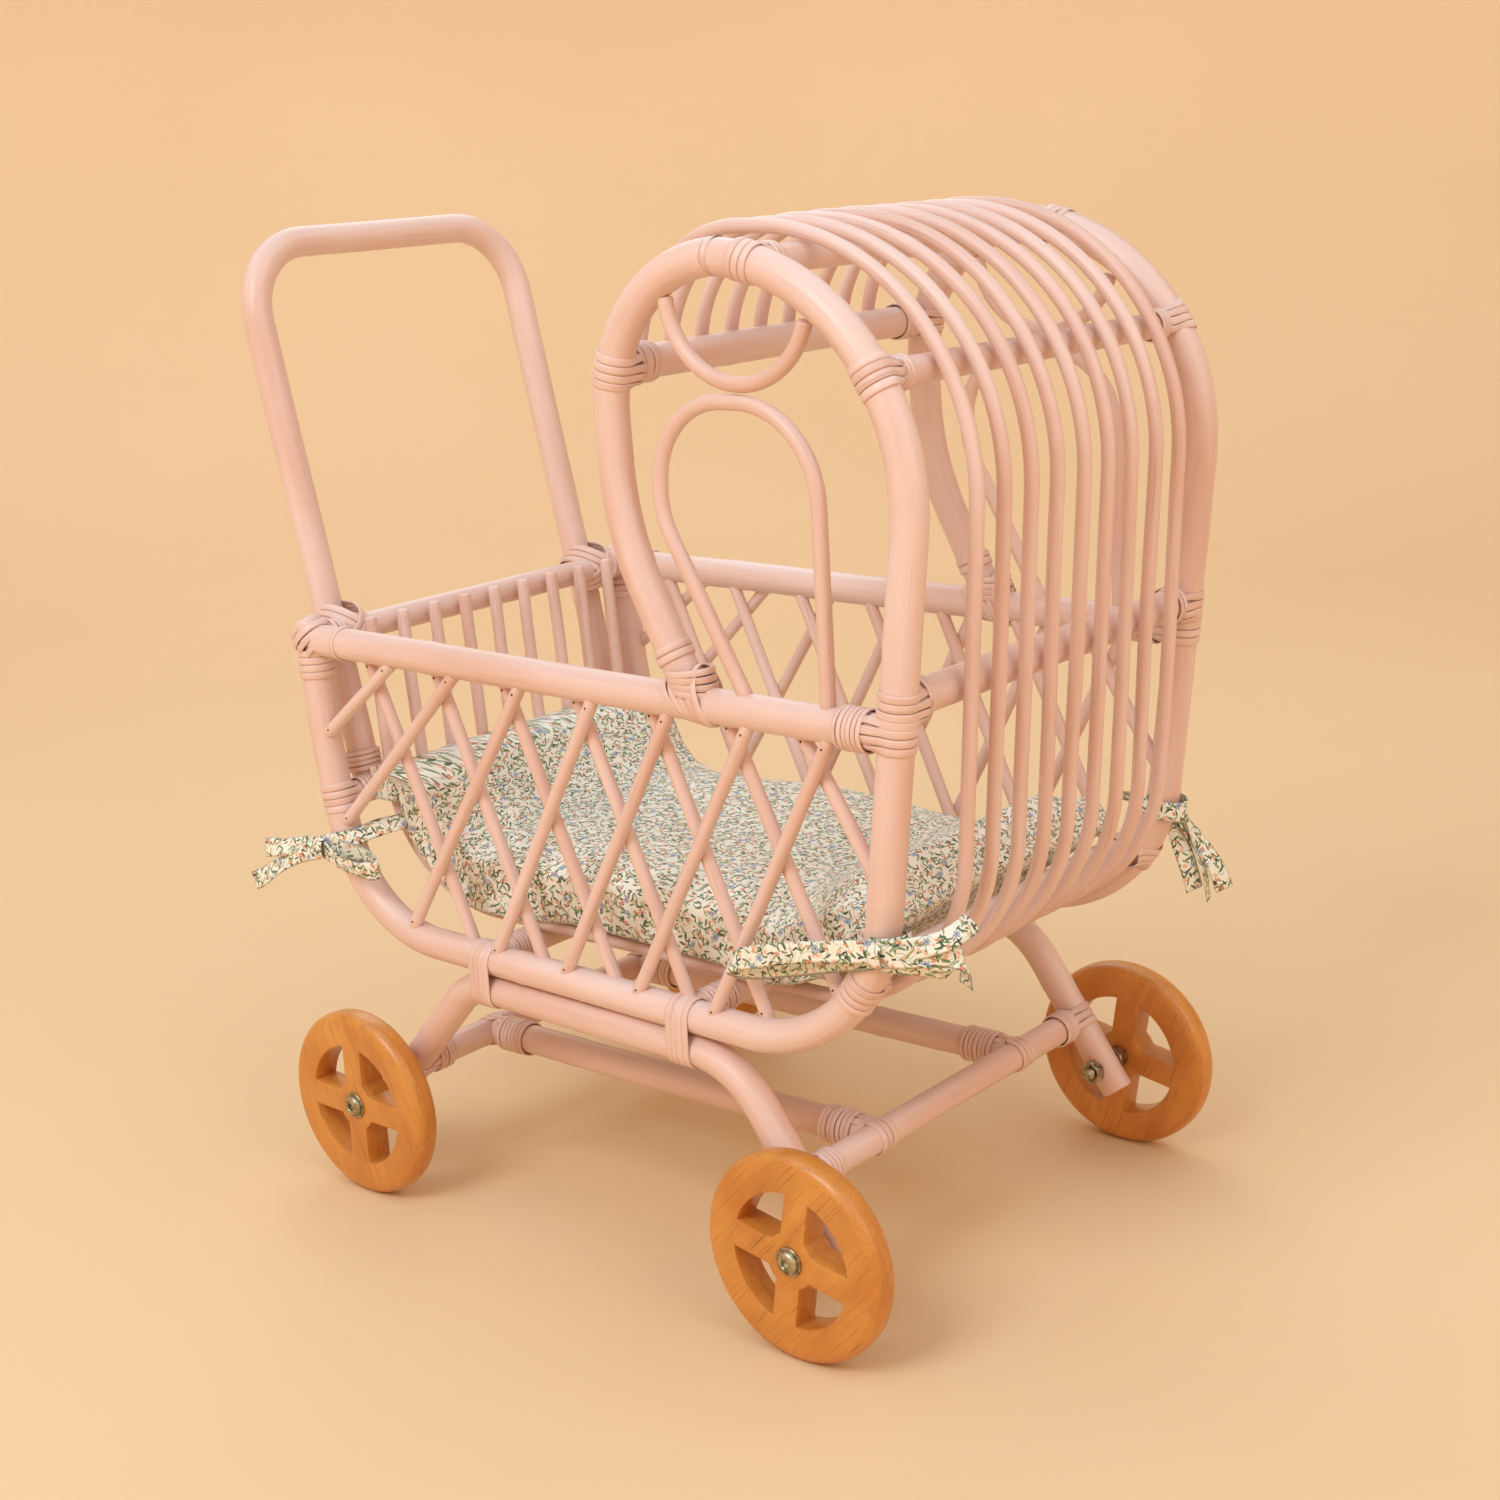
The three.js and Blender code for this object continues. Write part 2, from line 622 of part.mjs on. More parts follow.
function tie(name, sign, z, onRear, bow) {
  const span = hoopSpan(z, onRear);
  const inner = POLE_R + BAND_CLEAR;
  const band = bandTube(sign, span, BAND_HALF, inner + BAND_THICK);
  const way = bandTube(sign, span, 3 * BAND_HALF, inner);
  const y = span.centre.x;
  const strapX = [MATTRESS_HALF + GAP, SIDE_X - inner - TOUCH_IN].map((value) => sign * value);
  const strap = box(
    [Math.min(...strapX), y - STRAP_HALF, z + STRAP_Z[0]],
    [Math.max(...strapX), y + STRAP_HALF, z + STRAP_Z[1]],
  );
  const bowFrom = SIDE_X + inner + TOUCH_IN;
  const bowX = [bowFrom, bowFrom + BOW_THICK].map((value) => sign * value);
  const shape = new THREE.Shape(bow.map(([dy, dz]) => new THREE.Vector2(y + dy, z + dz)));
  const wings = sidePlate(shape, Math.min(...bowX), Math.max(...bowX));
  const whole = band.subtract(way).add(solid(strap)).add(solid(wings));
  place(name, geometryOf(whole), FLORAL);
}

// Outlines of the bows round the knot, as (y, z) from the band's middle.
const REAR_BOW = [[0, 5], [20, 10], [42, 2], [46, -12], [30, -10], [0, -5], [-22, -9], [-24, 9]];
const LONG_BOW = [
  [0, 5],
  [60, 10],
  [86, 4],
  [84, -10],
  [40, -8],
  [0, -5],
  [-26, -16],
  [-36, -6],
  [-30, 6],
];
const HANGING_BOW = [
  [0, 5],
  [10, 4],
  [8, -5],
  [-6, -20],
  [-16, -58],
  [-24, -56],
  [-20, -10],
  [-10, 4],
];

tie('near_rear_tie', -1, 211, true, REAR_BOW);
tie('far_rear_tie', 1, 211, true, REAR_BOW);
tie('near_front_tie', -1, 236, false, LONG_BOW);
tie('far_front_tie', 1, 246, false, HANGING_BOW);

// ---- origin ---------------------------------------------------------------------------------
const bounds = new THREE.Box3().setFromObject(stroller);
const middle = bounds.getCenter(new THREE.Vector3());
stroller.position.set(-middle.x, -middle.y, -bounds.min.z);

export default stroller;
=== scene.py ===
"""Looks of the rattan doll pram: painted poles and canes, lashings of flat rattan strip, varnished
wooden wheels and a printed cotton mattress with its ties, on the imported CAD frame.

Lengths are written in millimetres in the pram's own axes: x across, y along from the middle of the
wheelbase (the handle end is +y), z up from the floor. at() turns them into the frame's metres.
"""

import math
import random

import bpy
import bmesh
from mathutils import Matrix, Vector, noise


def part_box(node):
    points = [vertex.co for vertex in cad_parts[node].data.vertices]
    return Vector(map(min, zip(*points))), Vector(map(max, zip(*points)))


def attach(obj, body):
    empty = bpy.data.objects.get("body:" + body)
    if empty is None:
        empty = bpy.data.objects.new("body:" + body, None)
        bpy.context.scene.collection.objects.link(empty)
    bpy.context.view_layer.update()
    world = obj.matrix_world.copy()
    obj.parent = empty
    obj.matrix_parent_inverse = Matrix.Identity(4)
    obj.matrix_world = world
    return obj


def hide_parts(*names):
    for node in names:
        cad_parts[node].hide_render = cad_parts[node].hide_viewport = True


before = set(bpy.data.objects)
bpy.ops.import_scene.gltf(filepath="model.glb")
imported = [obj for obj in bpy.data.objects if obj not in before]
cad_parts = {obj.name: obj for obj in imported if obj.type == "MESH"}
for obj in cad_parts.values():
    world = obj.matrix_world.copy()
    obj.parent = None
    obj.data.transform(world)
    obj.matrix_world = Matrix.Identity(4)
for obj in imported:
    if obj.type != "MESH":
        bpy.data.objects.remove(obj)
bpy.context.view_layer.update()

NOISE_SEED = 1
noise.seed_set(NOISE_SEED)         # noise_vector() takes its offsets from the clock otherwise

MM = 0.001


def axle(node):
    low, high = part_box(node)
    return (low + high) / 2


WHEELBASE_MIDDLE_Y = (axle("near_front_wheel").y + axle("near_rear_wheel").y) / 2


def at(x, y, z):
    return Vector((x * MM, y * MM + WHEELBASE_MIDDLE_Y, z * MM))


# ---- camera ---------------------------------------------------------------------------------
CAMERA_PLACE = at(-1012.4, -890.3, 646.9)
CAMERA_AZIMUTH = -49.12
CAMERA_ELEVATION = 15.41
CAMERA_ROLL = -2.73
CAMERA_LENS = 54.65


def make_camera():
    data = bpy.data.cameras.new("camera")
    data.lens = CAMERA_LENS
    data.sensor_width = 36
    camera = bpy.data.objects.new("camera", data)
    bpy.context.scene.collection.objects.link(camera)
    bpy.context.scene.camera = camera
    a, e, r = (math.radians(v) for v in (CAMERA_AZIMUTH, CAMERA_ELEVATION, CAMERA_ROLL))
    back = Vector((math.sin(a) * math.cos(e), -math.cos(a) * math.cos(e), math.sin(e)))
    right = (-back).cross(Vector((0, 0, 1))).normalized()
    up = right.cross(-back)
    rolled_right = right * math.cos(r) + up * math.sin(r)
    rolled_up = up * math.cos(r) - right * math.sin(r)
    turn = Matrix((rolled_right, rolled_up, back)).transposed()
    camera.matrix_world = Matrix.Translation(CAMERA_PLACE) @ turn.to_4x4()
    return camera


camera = make_camera()


def linked(name, data):
    made = bpy.data.objects.new(name, data)
    bpy.context.scene.collection.objects.link(made)
    return made


# ---- sizes ----------------------------------------------------------------------------------
SIDES = (("near", -1), ("far", 1))
ENDS = (("front", -1), ("rear", 1))
POLE_R = 9.75
CANE_R = 4.0
LOOP_R = 4.25
HANDLE_R = 9.5
SIDE_X = 140
RAIL_Z = 350
SILL_Z = 167.5
CHASSIS_Z = 147.7
FLOOR_Z = 181
AXLE_Z = axle("near_front_wheel").z / MM
AXLE_Y = 177

STRIP_WIDTH = 4.4
STRIP_THICK = 1.0
THIN_STRIP = 3.0


# ---- shader helpers -------------------------------------------------------------------------
def srgb(red, green, blue):
    """A colour given as 0 to 255 in sRGB, as linear RGBA."""
    def linear(value):
        value /= 255
        return value / 12.92 if value <= 0.04045 else ((value + 0.055) / 1.055) ** 2.4

    return (linear(red), linear(green), linear(blue), 1)


class Shader:
    """A material under construction: add() makes a node and sets or links its inputs by name."""

    def __init__(self, name):
        self.material = bpy.data.materials.new(name)
        self.material.use_nodes = True
        self.tree = self.material.node_tree
        self.tree.nodes.clear()
        self.output = self.tree.nodes.new("ShaderNodeOutputMaterial")
        self.surface = self.add("ShaderNodeBsdfPrincipled")
        self.tree.links.new(self.surface.outputs[0], self.output.inputs["Surface"])

    def add(self, kind, inputs=None, **settings):
        node = self.tree.nodes.new(kind)
        for key, value in settings.items():
            setattr(node, key, value)
        for key, value in (inputs or {}).items():
            self.put(node.inputs[key], value)
        return node

    def put(self, socket, value):
        if isinstance(value, bpy.types.NodeSocket):
            self.tree.links.new(value, socket)
        else:
            socket.default_value = value

    def set(self, **inputs):
        for key, value in inputs.items():
            self.put(self.surface.inputs[key.replace("_", " ")], value)

    def coordinates(self, scale, attribute=None):
        """The grain attribute of a swept piece or the object coordinates, stretched."""
        if attribute:
            source = self.add("ShaderNodeAttribute", attribute_name=attribute).outputs["Vector"]
        else:
            source = self.add("ShaderNodeTexCoord").outputs["Object"]
        return self.add("ShaderNodeMapping", {"Vector": source, "Scale": scale}).outputs[0]

    def noise(self, vector, scale, detail=2.0, roughness=0.5, distortion=0.0):
        node = self.add(
            "ShaderNodeTexNoise",
            {
                "Vector": vector,
                "Scale": scale,
                "Detail": detail,
                "Roughness": roughness,
                "Distortion": distortion,
            },
        )
        return node.outputs["Fac"]

    def ramp(self, value, stops, interpolation="LINEAR"):
        node = self.add("ShaderNodeValToRGB", {"Fac": value})
        band = node.color_ramp
        band.interpolation = interpolation
        while len(band.elements) < len(stops):
            band.elements.new(0.5)
        for element, (place, colour) in zip(band.elements, stops):
            element.position = place
            element.color = colour if hasattr(colour, "__len__") else (colour,) * 3 + (1,)
        return node.outputs["Color"]

    def mix(self, factor, first, second, blend="MIX"):
        node = self.add("ShaderNodeMix", data_type="RGBA", blend_type=blend)
        self.put(node.inputs[0], factor)
        self.put(node.inputs[6], first)
        self.put(node.inputs[7], second)
        return node.outputs[2]

    def math(self, operation, first, second=0.0):
        node = self.add("ShaderNodeMath", operation=operation)
        self.put(node.inputs[0], first)
        self.put(node.inputs[1], second)
        return node.outputs[0]

    def stretch(self, value, low, high):
        """A 0 to 1 value mapped to low to high."""
        node = self.add("ShaderNodeMapRange", {"Value": value, "To Min": low, "To Max": high})
        return node.outputs[0]

    def bump(self, layers):
        """Bumps on top of each other, given as (height, depth in metres)."""
        normal = None
        for height, depth in layers:
            inputs = {"Height": height, "Strength": 1.0, "Distance": depth}
            if normal is not None:
                inputs["Normal"] = normal
            normal = self.add("ShaderNodeBump", inputs).outputs[0]
        self.set(Normal=normal)


# ---- materials ------------------------------------------------------------------------------
PAINT = srgb(233, 197, 186)
PAINT_DEEP = srgb(225, 182, 167)
PAINT_PALE = srgb(238, 207, 199)


def painted_rattan(name, paint, deep, pale, streak):
    """Satin paint over rattan: long faint fibres, soft blotches and a little bare dirt in them."""
    shader = Shader(name)
    along = shader.coordinates((14, 620, 620), "grain")
    fibre = shader.noise(along, 1.0, 3.0, 0.6)
    broad = shader.noise(shader.coordinates((7, 60, 60), "grain"), 1.0, 3.0, 0.5)
    peel = shader.noise(shader.coordinates((1, 1, 1), "grain"), 520.0, 2.0)
    blotch = shader.ramp(broad, [(0.3, deep), (0.52, paint), (0.75, pale)])
    dark_fibre = shader.ramp(fibre, [(0.26, 0.0), (0.40, 1.0)])
    tint = shader.mix(streak, blotch, shader.mix(1.0, blotch, dark_fibre, "MULTIPLY"))
    shader.set(
        Base_Color=tint,
        Roughness=shader.stretch(broad, 0.36, 0.52),
        Specular_IOR_Level=0.5,
        Coat_Weight=0.12,
        Coat_Roughness=0.28,
        Subsurface_Weight=0.0,
    )
    shader.bump([(fibre, 0.00022), (peel, 0.00005), (broad, 0.0012)])
    return shader.material


def bare_cane_with_painted_shade(name):
    """The unpainted rattan in the gaps between strips, painted dark brown so that it also stands in
    for the shade that falls in those gaps.
    """
    shader = Shader(name)
    grain = shader.noise(shader.coordinates((1, 1, 1)), 900.0, 3.0)
    shader.set(
        Base_Color=shader.ramp(grain, [(0.3, srgb(96, 54, 38)), (0.7, srgb(146, 92, 68))]),
        Roughness=0.8,
    )
    shader.bump([(grain, 0.0001)])
    return shader.material


def varnished_wood(name):
    shader = Shader(name)
    grain_place = shader.coordinates((1, 1, 1), "grain")
    warp = shader.add("ShaderNodeMapping", {"Vector": grain_place, "Scale": (40, 9, 150)})
    rings = shader.noise(warp.outputs[0], 1.0, 3.0, 0.55, 0.6)
    fine = shader.add("ShaderNodeMapping", {"Vector": grain_place, "Scale": (900, 22, 900)})
    pores = shader.noise(fine.outputs[0], 1.0, 3.0, 0.7)
    cloud = shader.noise(grain_place, 26.0, 2.0)
    base = shader.ramp(
        rings,
        [
            (0.25, srgb(176, 98, 30)),
            (0.45, srgb(205, 128, 48)),
            (0.6, srgb(218, 144, 62)),
            (0.8, srgb(192, 112, 38)),
        ],
    )
    cloud_tone = shader.ramp(cloud, [(0.3, srgb(196, 114, 38)), (0.7, srgb(228, 160, 80))])
    clouded = shader.mix(0.45, base, cloud_tone)
    pored = shader.mix(
        shader.ramp(pores, [(0.28, 0.75), (0.44, 0.0)]), clouded, srgb(142, 78, 26)
    )
    shader.set(
        Base_Color=pored,
        Roughness=shader.stretch(pores, 0.34, 0.5),
        Coat_Weight=0.35,
        Coat_Roughness=0.2,
    )
    shader.bump([(pores, 0.00025), (rings, 0.0002)])
    return shader.material


def worn_steel(name, bright, dull, roughness):
    shader = Shader(name)
    place = shader.coordinates((1, 1, 1))
    stain = shader.noise(place, 260.0, 4.0, 0.65)
    scratch = shader.noise(shader.coordinates((1800, 1800, 200)), 1.0, 2.0)
    shader.set(
        Base_Color=shader.ramp(stain, [(0.35, dull), (0.6, bright)]),
        Metallic=1.0,
        Roughness=shader.stretch(stain, roughness, roughness + 0.22),
    )
    shader.bump([(scratch, 0.00006)])
    return shader.material


def scaled(shader, vector, factor):
    scaling = shader.add(
        "ShaderNodeVectorMath", {0: vector, "Scale": factor}, operation="SCALE"
    )
    return scaling.outputs[0]


def petal_layer(shader, place, scale, reach, petals, seed):
    """Small flowers scattered at random: 1 on the petals, and 1 on the heart, as two masks."""
    moved = shader.add("ShaderNodeMapping", {"Vector": place, "Location": (seed, seed * 0.7, 0)})
    cells = shader.add(
        "ShaderNodeTexVoronoi",
        {"Vector": moved.outputs[0], "Scale": scale, "Randomness": 0.9},
        voronoi_dimensions="2D",
    )
    from_heart = shader.add(
        "ShaderNodeVectorMath",
        {
            0: scaled(shader, moved.outputs[0], scale),
            1: scaled(shader, cells.outputs["Position"], scale),
        },
        operation="SUBTRACT",
    )
    parts = shader.add("ShaderNodeSeparateXYZ", {0: from_heart.outputs[0]})
    angle = shader.math("ARCTAN2", parts.outputs[1], parts.outputs[0])
    lobes = shader.math("SINE", shader.math("MULTIPLY", angle, float(petals)))
    edge = shader.math("ADD", reach, shader.math("MULTIPLY", lobes, reach * 0.28))
    petal = shader.math("LESS_THAN", cells.outputs["Distance"], edge)
    heart = shader.math("LESS_THAN", cells.outputs["Distance"], reach * 0.3)
    return petal, heart, cells.outputs["Color"]


def leaf_layer(shader, place, scale, turn, seed, width):
    """Short slim leaves that all lie near one direction."""
    turned = shader.add(
        "ShaderNodeMapping",
        {"Vector": place, "Rotation": (0, 0, math.radians(turn)), "Location": (seed, -seed, 0)},
    )
    slim = shader.add("ShaderNodeMapping", {"Vector": turned.outputs[0], "Scale": (1, 0.27, 1)})
    cells = shader.add(
        "ShaderNodeTexVoronoi",
        {"Vector": slim.outputs[0], "Scale": scale, "Randomness": 1.0},
        voronoi_dimensions="2D",
    )
    return shader.math("LESS_THAN", cells.outputs["Distance"], width)


def floral_cotton(name):
    """Cream cotton with a close print of stems, leaves and small flowers, and a fine plain weave."""
    shader = Shader(name)
    place = shader.add("ShaderNodeUVMap", uv_map="print").outputs[0]
    wobble = shader.add("ShaderNodeTexNoise", {"Vector": place, "Scale": 90.0, "Detail": 1.0})
    bent = scaled(shader, wobble.outputs["Color"], 0.006)
    warping = shader.add("ShaderNodeVectorMath", {0: place, 1: bent}, operation="ADD")
    warped = warping.outputs[0]

    cream = shader.ramp(
        shader.noise(place, 40.0, 2.0), [(0.3, srgb(240, 234, 218)), (0.7, srgb(248, 243, 230))]
    )
    colour = cream
    stems = shader.noise(warped, 110.0, 0.0)
    stem_line = shader.ramp(stems, [(0.486, 0.0), (0.494, 0.85), (0.504, 0.85), (0.512, 0.0)])
    colour = shader.mix(stem_line, colour, srgb(150, 158, 126))
    leaf_tones = [
        (270.0, 25, 0.31, 0.175, srgb(116, 134, 92)),
        (250.0, 80, 1.77, 0.165, srgb(92, 104, 74)),
        (260.0, 135, 2.93, 0.175, srgb(150, 164, 120)),
        (250.0, 165, 4.10, 0.140, srgb(78, 84, 66)),
    ]
    for scale, turn, seed, width, tone in leaf_tones:
        colour = shader.mix(leaf_layer(shader, warped, scale, turn, seed, width), colour, tone)
    flowers = [
        (125.0, 0.135, 5, 0.37, srgb(236, 176, 146), srgb(250, 226, 190)),
        (92.0, 0.11, 5, 2.21, srgb(216, 134, 106), srgb(244, 214, 150)),
        (48.0, 0.10, 6, 3.33, srgb(170, 180, 200), srgb(112, 118, 150)),
    ]
    for scale, reach, petals, seed, petal_tone, heart_tone in flowers:
        petal, heart, _ = petal_layer(shader, warped, scale, reach, petals, seed)
        colour = shader.mix(petal, colour, petal_tone)
        colour = shader.mix(heart, colour, heart_tone)
    weave_across = shader.add(
        "ShaderNodeTexWave", {"Vector": place, "Scale": 340.0}, bands_direction="X"
    ).outputs["Fac"]
    weave_along = shader.add(
        "ShaderNodeTexWave", {"Vector": place, "Scale": 340.0}, bands_direction="Y"
    ).outputs["Fac"]
    weave = shader.math("MULTIPLY", weave_across, weave_along)
    shader.set(
        Base_Color=colour,
        Roughness=0.9,
        Specular_IOR_Level=0.25,
        Sheen_Weight=0.25,
        Sheen_Roughness=0.5,
    )
    shader.bump([(weave, 0.00012), (shader.noise(place, 180.0, 3.0), 0.0005)])
    return shader.material


painted_pole = painted_rattan("painted_pole", PAINT, PAINT_DEEP, PAINT_PALE, 0.10)
painted_cane = painted_rattan("painted_cane", PAINT, PAINT_DEEP, PAINT_PALE, 0.22)
rattan_binding = painted_rattan("rattan_binding", PAINT, PAINT_DEEP, PAINT_PALE, 0.28)
# dark brown for bare cane and for painted shade in the gaps between lashing strips
bare_cane_and_gap_shade = bare_cane_with_painted_shade("bare_cane_and_gap_shade")
wood = varnished_wood("varnished_wood")
steel = worn_steel("steel", srgb(196, 186, 160), srgb(120, 104, 76), 0.28)
nail_steel = worn_steel("nail_steel", srgb(120, 84, 66), srgb(70, 44, 34), 0.45)
floral = floral_cotton("floral_cotton")


# ---- paths ----------------------------------------------------------------------------------
def bend(corners, step=3.0):
    """Points (a, b) along straight runs joined by arcs; a corner is (a, b, bend radius)."""
    points = [Vector(corners[0][:2])]
    for i in range(1, len(corners) - 1):
        corner = Vector(corners[i][:2])
        radius = corners[i][2]
        before = (Vector(corners[i - 1][:2]) - corner).normalized()
        after = (Vector(corners[i + 1][:2]) - corner).normalized()
        half = math.acos(max(-1, min(1, before.dot(after)))) / 2
        centre = corner + (before + after).normalized() * (radius / math.sin(half))
        start = corner + before * (radius / math.tan(half)) - centre
        end = corner + after * (radius / math.tan(half)) - centre
        turn = math.atan2(end.y, end.x) - math.atan2(start.y, start.x)
        turn = (turn + math.pi) % (2 * math.pi) - math.pi
        steps = max(4, math.ceil(abs(turn) * radius / step))
        first = math.atan2(start.y, start.x)
        for k in range(steps + 1):
            angle = first + turn * k / steps
            points.append(centre + Vector((math.cos(angle), math.sin(angle))) * radius)
    points.append(Vector(corners[-1][:2]))
    return points


def in_side_plane(x, points):
    return [at(x, p[0], p[1]) for p in points]


class Line:
    """A centre line through points in metres, read by the distance along it."""

    def __init__(self, points):
        self.points = [Vector(p) for p in points]
        self.marks = [0.0]
        for a, b in zip(self.points, self.points[1:]):
            self.marks.append(self.marks[-1] + (b - a).length)
        self.length = self.marks[-1]

    def at(self, distance):
        distance = min(max(distance, 0.0), self.length)
        low, high = 0, len(self.marks) - 2
        while low < high:
            middle = (low + high + 1) // 2
            if self.marks[middle] <= distance:
                low = middle
            else:
                high = middle - 1
        a, b = self.points[low], self.points[low + 1]
        span = self.marks[low + 1] - self.marks[low]
        return a.lerp(b, (distance - self.marks[low]) / span if span else 0)

    def tangent(self, distance, reach=0.002):
        return (self.at(distance + reach) - self.at(distance - reach)).normalized()

    def nearest(self, point, low=0.0, high=None):
        """The distance along the line at which it passes closest to a point."""
        high = self.length if high is None else high
        steps = 400
        return min(
            (low + (high - low) * i / steps for i in range(steps + 1)),
            key=lambda s: (self.at(s) - point).length,
        )

    def spaced(self, step):
        count = max(2, math.ceil(self.length / step))
        return [self.at(self.length * i / count) for i in range(count + 1)]


# ---- meshes ---------------------------------------------------------------------------------
class Shape:
    """The mesh of one piece, built up from rings of points, with the grain place of each point."""

    def __init__(self):
        self.points = []
        self.grain = []
        self.faces = []

    def ring(self, points, grain):
        first = len(self.points)
        self.points.extend(points)
        self.grain.extend(grain)
        return range(first, len(self.points))

    def skin(self, one, other, closed=True):
        count = len(one)
        for i in range(count if closed else count - 1):
            j = (i + 1) % count
            self.faces.append((one[i], one[j], other[j], other[i]))

    def cap(self, ring, outward_last):
        self.faces.append(tuple(ring) if outward_last else tuple(reversed(ring)))

    def object(self, name, look, slot=None, replaces=(), printed=False):
        mesh = bpy.data.meshes.new(name)
        mesh.from_pydata(self.points, [], self.faces)
        grain = mesh.attributes.new("grain", "FLOAT_VECTOR", "POINT")
        grain.data.foreach_set("vector", [c for g in self.grain for c in g])
        if printed:
            uv = mesh.uv_layers.new(name="print")
            corners = [self.grain[loop.vertex_index][:2] for loop in mesh.loops]
            uv.data.foreach_set("uv", [c for corner in corners for c in corner])
        mesh.polygons.foreach_set("use_smooth", [True] * len(mesh.polygons))
        mesh.materials.append(look)
        mesh.update()
        made = bpy.data.objects.new(name, mesh)
        bpy.context.scene.collection.objects.link(made)
        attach(made, "frame")
        if replaces:
            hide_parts(*replaces)
        return made


def carried_frames(points):
    """A direction across the line at each point, carried along without twisting."""
    tangents = []
    last = len(points) - 1
    for i in range(len(points)):
        tangents.append((points[min(i + 1, last)] - points[max(i - 1, 0)]).normalized())
    across = Vector((0, 0, 1)).cross(tangents[0])
    if across.length < 0.1:
        across = Vector((1, 0, 0)).cross(tangents[0])
    across.normalize()
    frames = []
    for tangent in tangents:
        across = (across - tangent * across.dot(tangent)).normalized()
        frames.append((tangent, across, tangent.cross(across)))
    return frames


END_ROUND = 0.0012
RATTAN_JOINT = 0.00042


def add_pole(shape, line, radius, sides, seed, joints=0, wander=0.0, step=0.005):
    """A round pole of radius mm with slightly uneven thickness, rattan joints and rounded ends."""
    chance = random.Random(seed)
    radius *= MM
    points = line.spaced(step)
    count = len(points) - 1
    rings = [
        line.length * (i + chance.uniform(0.25, 0.75)) / joints for i in range(joints)
    ]
    shift = Vector((seed * 3.1, seed * 1.7, seed * 0.9))
    moved = []
    for i, point in enumerate(points):
        s = line.length * i / count
        fade = min(1.0, s / 0.03, (line.length - s) / 0.03)
        moved.append(point + noise.noise_vector(shift + Vector((s * 9, 0, 0))) * wander * MM * fade)
    frames = carried_frames(moved)
    stations = []
    for i, point in enumerate(moved):
        s = line.length * i / count
        grow = 1 + 0.018 * noise.noise(shift + Vector((s * 16, 5, 0)))
        size = radius * grow
        for joint in rings:
            away = (s - joint) / 0.0032
            size += RATTAN_JOINT * (radius / 0.00975) * math.exp(-away * away)
        stations.append((point, frames[i], size, s))
    first, last = stations[0], stations[-1]
    rows = [
        (first[0], first[1], first[2] - END_ROUND, 0.0),
        (first[0] + first[1][0] * END_ROUND * 0.3, first[1], first[2] - END_ROUND * 0.3, 0.0),
        (first[0] + first[1][0] * END_ROUND, first[1], first[2], END_ROUND),
        *stations[1:-1],
        (last[0] - last[1][0] * END_ROUND, last[1], last[2], last[3] - END_ROUND),
        (last[0] - last[1][0] * END_ROUND * 0.3, last[1], last[2] - END_ROUND * 0.3, last[3]),
        (last[0], last[1], last[2] - END_ROUND, last[3]),
    ]
    made = []
    for point, (_, across, other), size, s in rows:
        ring, grain = [], []
        for k in range(sides):
            angle = 2 * math.pi * k / sides
            c, n = math.cos(angle), math.sin(angle)
            ring.append(point + across * (size * c) + other * (size * n))
            grain.append((s + seed * 0.37, c * radius + seed * 0.013, n * radius))
        made.append(shape.ring(ring, grain))
    for one, two in zip(made, made[1:]):
        shape.skin(one, two)
    shape.cap(made[0], False)
    shape.cap(made[-1], True)


STRIP_PROFILE = (
    (-0.50, 0.0), (-0.49, 0.5), (-0.40, 0.86), (-0.18, 1.0),
    (0.18, 1.0), (0.40, 0.86), (0.49, 0.5), (0.50, 0.0),
)


def add_strip(shape, points, outs, width, thick, closed=False, seed=0.0):
    """A flat rattan strip laid along points, with outs pointing away from what it lies on."""
    made = []
    count = len(points)
    run = 0.0
    for i, point in enumerate(points):
        if closed:
            along = points[(i + 1) % count] - points[i - 1]
        else:
            along = points[min(i + 1, count - 1)] - points[max(i - 1, 0)]
        along.normalize()
        side = along.cross(outs[i]).normalized()
        out = side.cross(along).normalized()
        if i:
            run += (point - points[i - 1]).length
        ring = [
            point + side * (u * width * MM) + out * (v * thick * MM) for u, v in STRIP_PROFILE
        ]
        grain = [(run + seed, u * width * MM + seed, 0.3 * seed) for u, v in STRIP_PROFILE]
        made.append(shape.ring(ring, grain))
    for one, two in zip(made, made[1:]):
        shape.skin(two, one)
    if closed:
        shape.skin(made[0], made[-1])
    else:
        shape.cap(made[0], True)
        shape.cap(made[-1], False)


def around(tangent, start):
    """Two directions across a tangent, the first as near to start as it goes."""
    first = (start - tangent * start.dot(tangent)).normalized()
    return first, tangent.cross(first)


def add_coil(shape, line, middle, turns, radius, width=STRIP_WIDTH, start=Vector((0, 0, 1)), seed=1):
    """Turns of strip side by side round a line, centred on a distance along it."""
    chance = random.Random(seed)
    pitch = (width + 0.25) * MM
    steps = 22
    begin = middle - turns * pitch / 2 + pitch / 2
    for turn in range(turns):
        s0 = begin + turn * pitch
        lift = radius + chance.uniform(0.0, 0.35)
        lean = chance.uniform(-0.35, 0.35) * MM
        points, outs = [], []
        for k in range(steps):
            angle = 2 * math.pi * k / steps
            s = s0 + lean * math.sin(angle)
            first, second = around(line.tangent(s), start)
            out = first * math.cos(angle) + second * math.sin(angle)
            points.append(line.at(s) + out * (lift * MM))
            outs.append(out)
        add_strip(shape, points, outs, width, STRIP_THICK, closed=True, seed=chance.random() * 9)


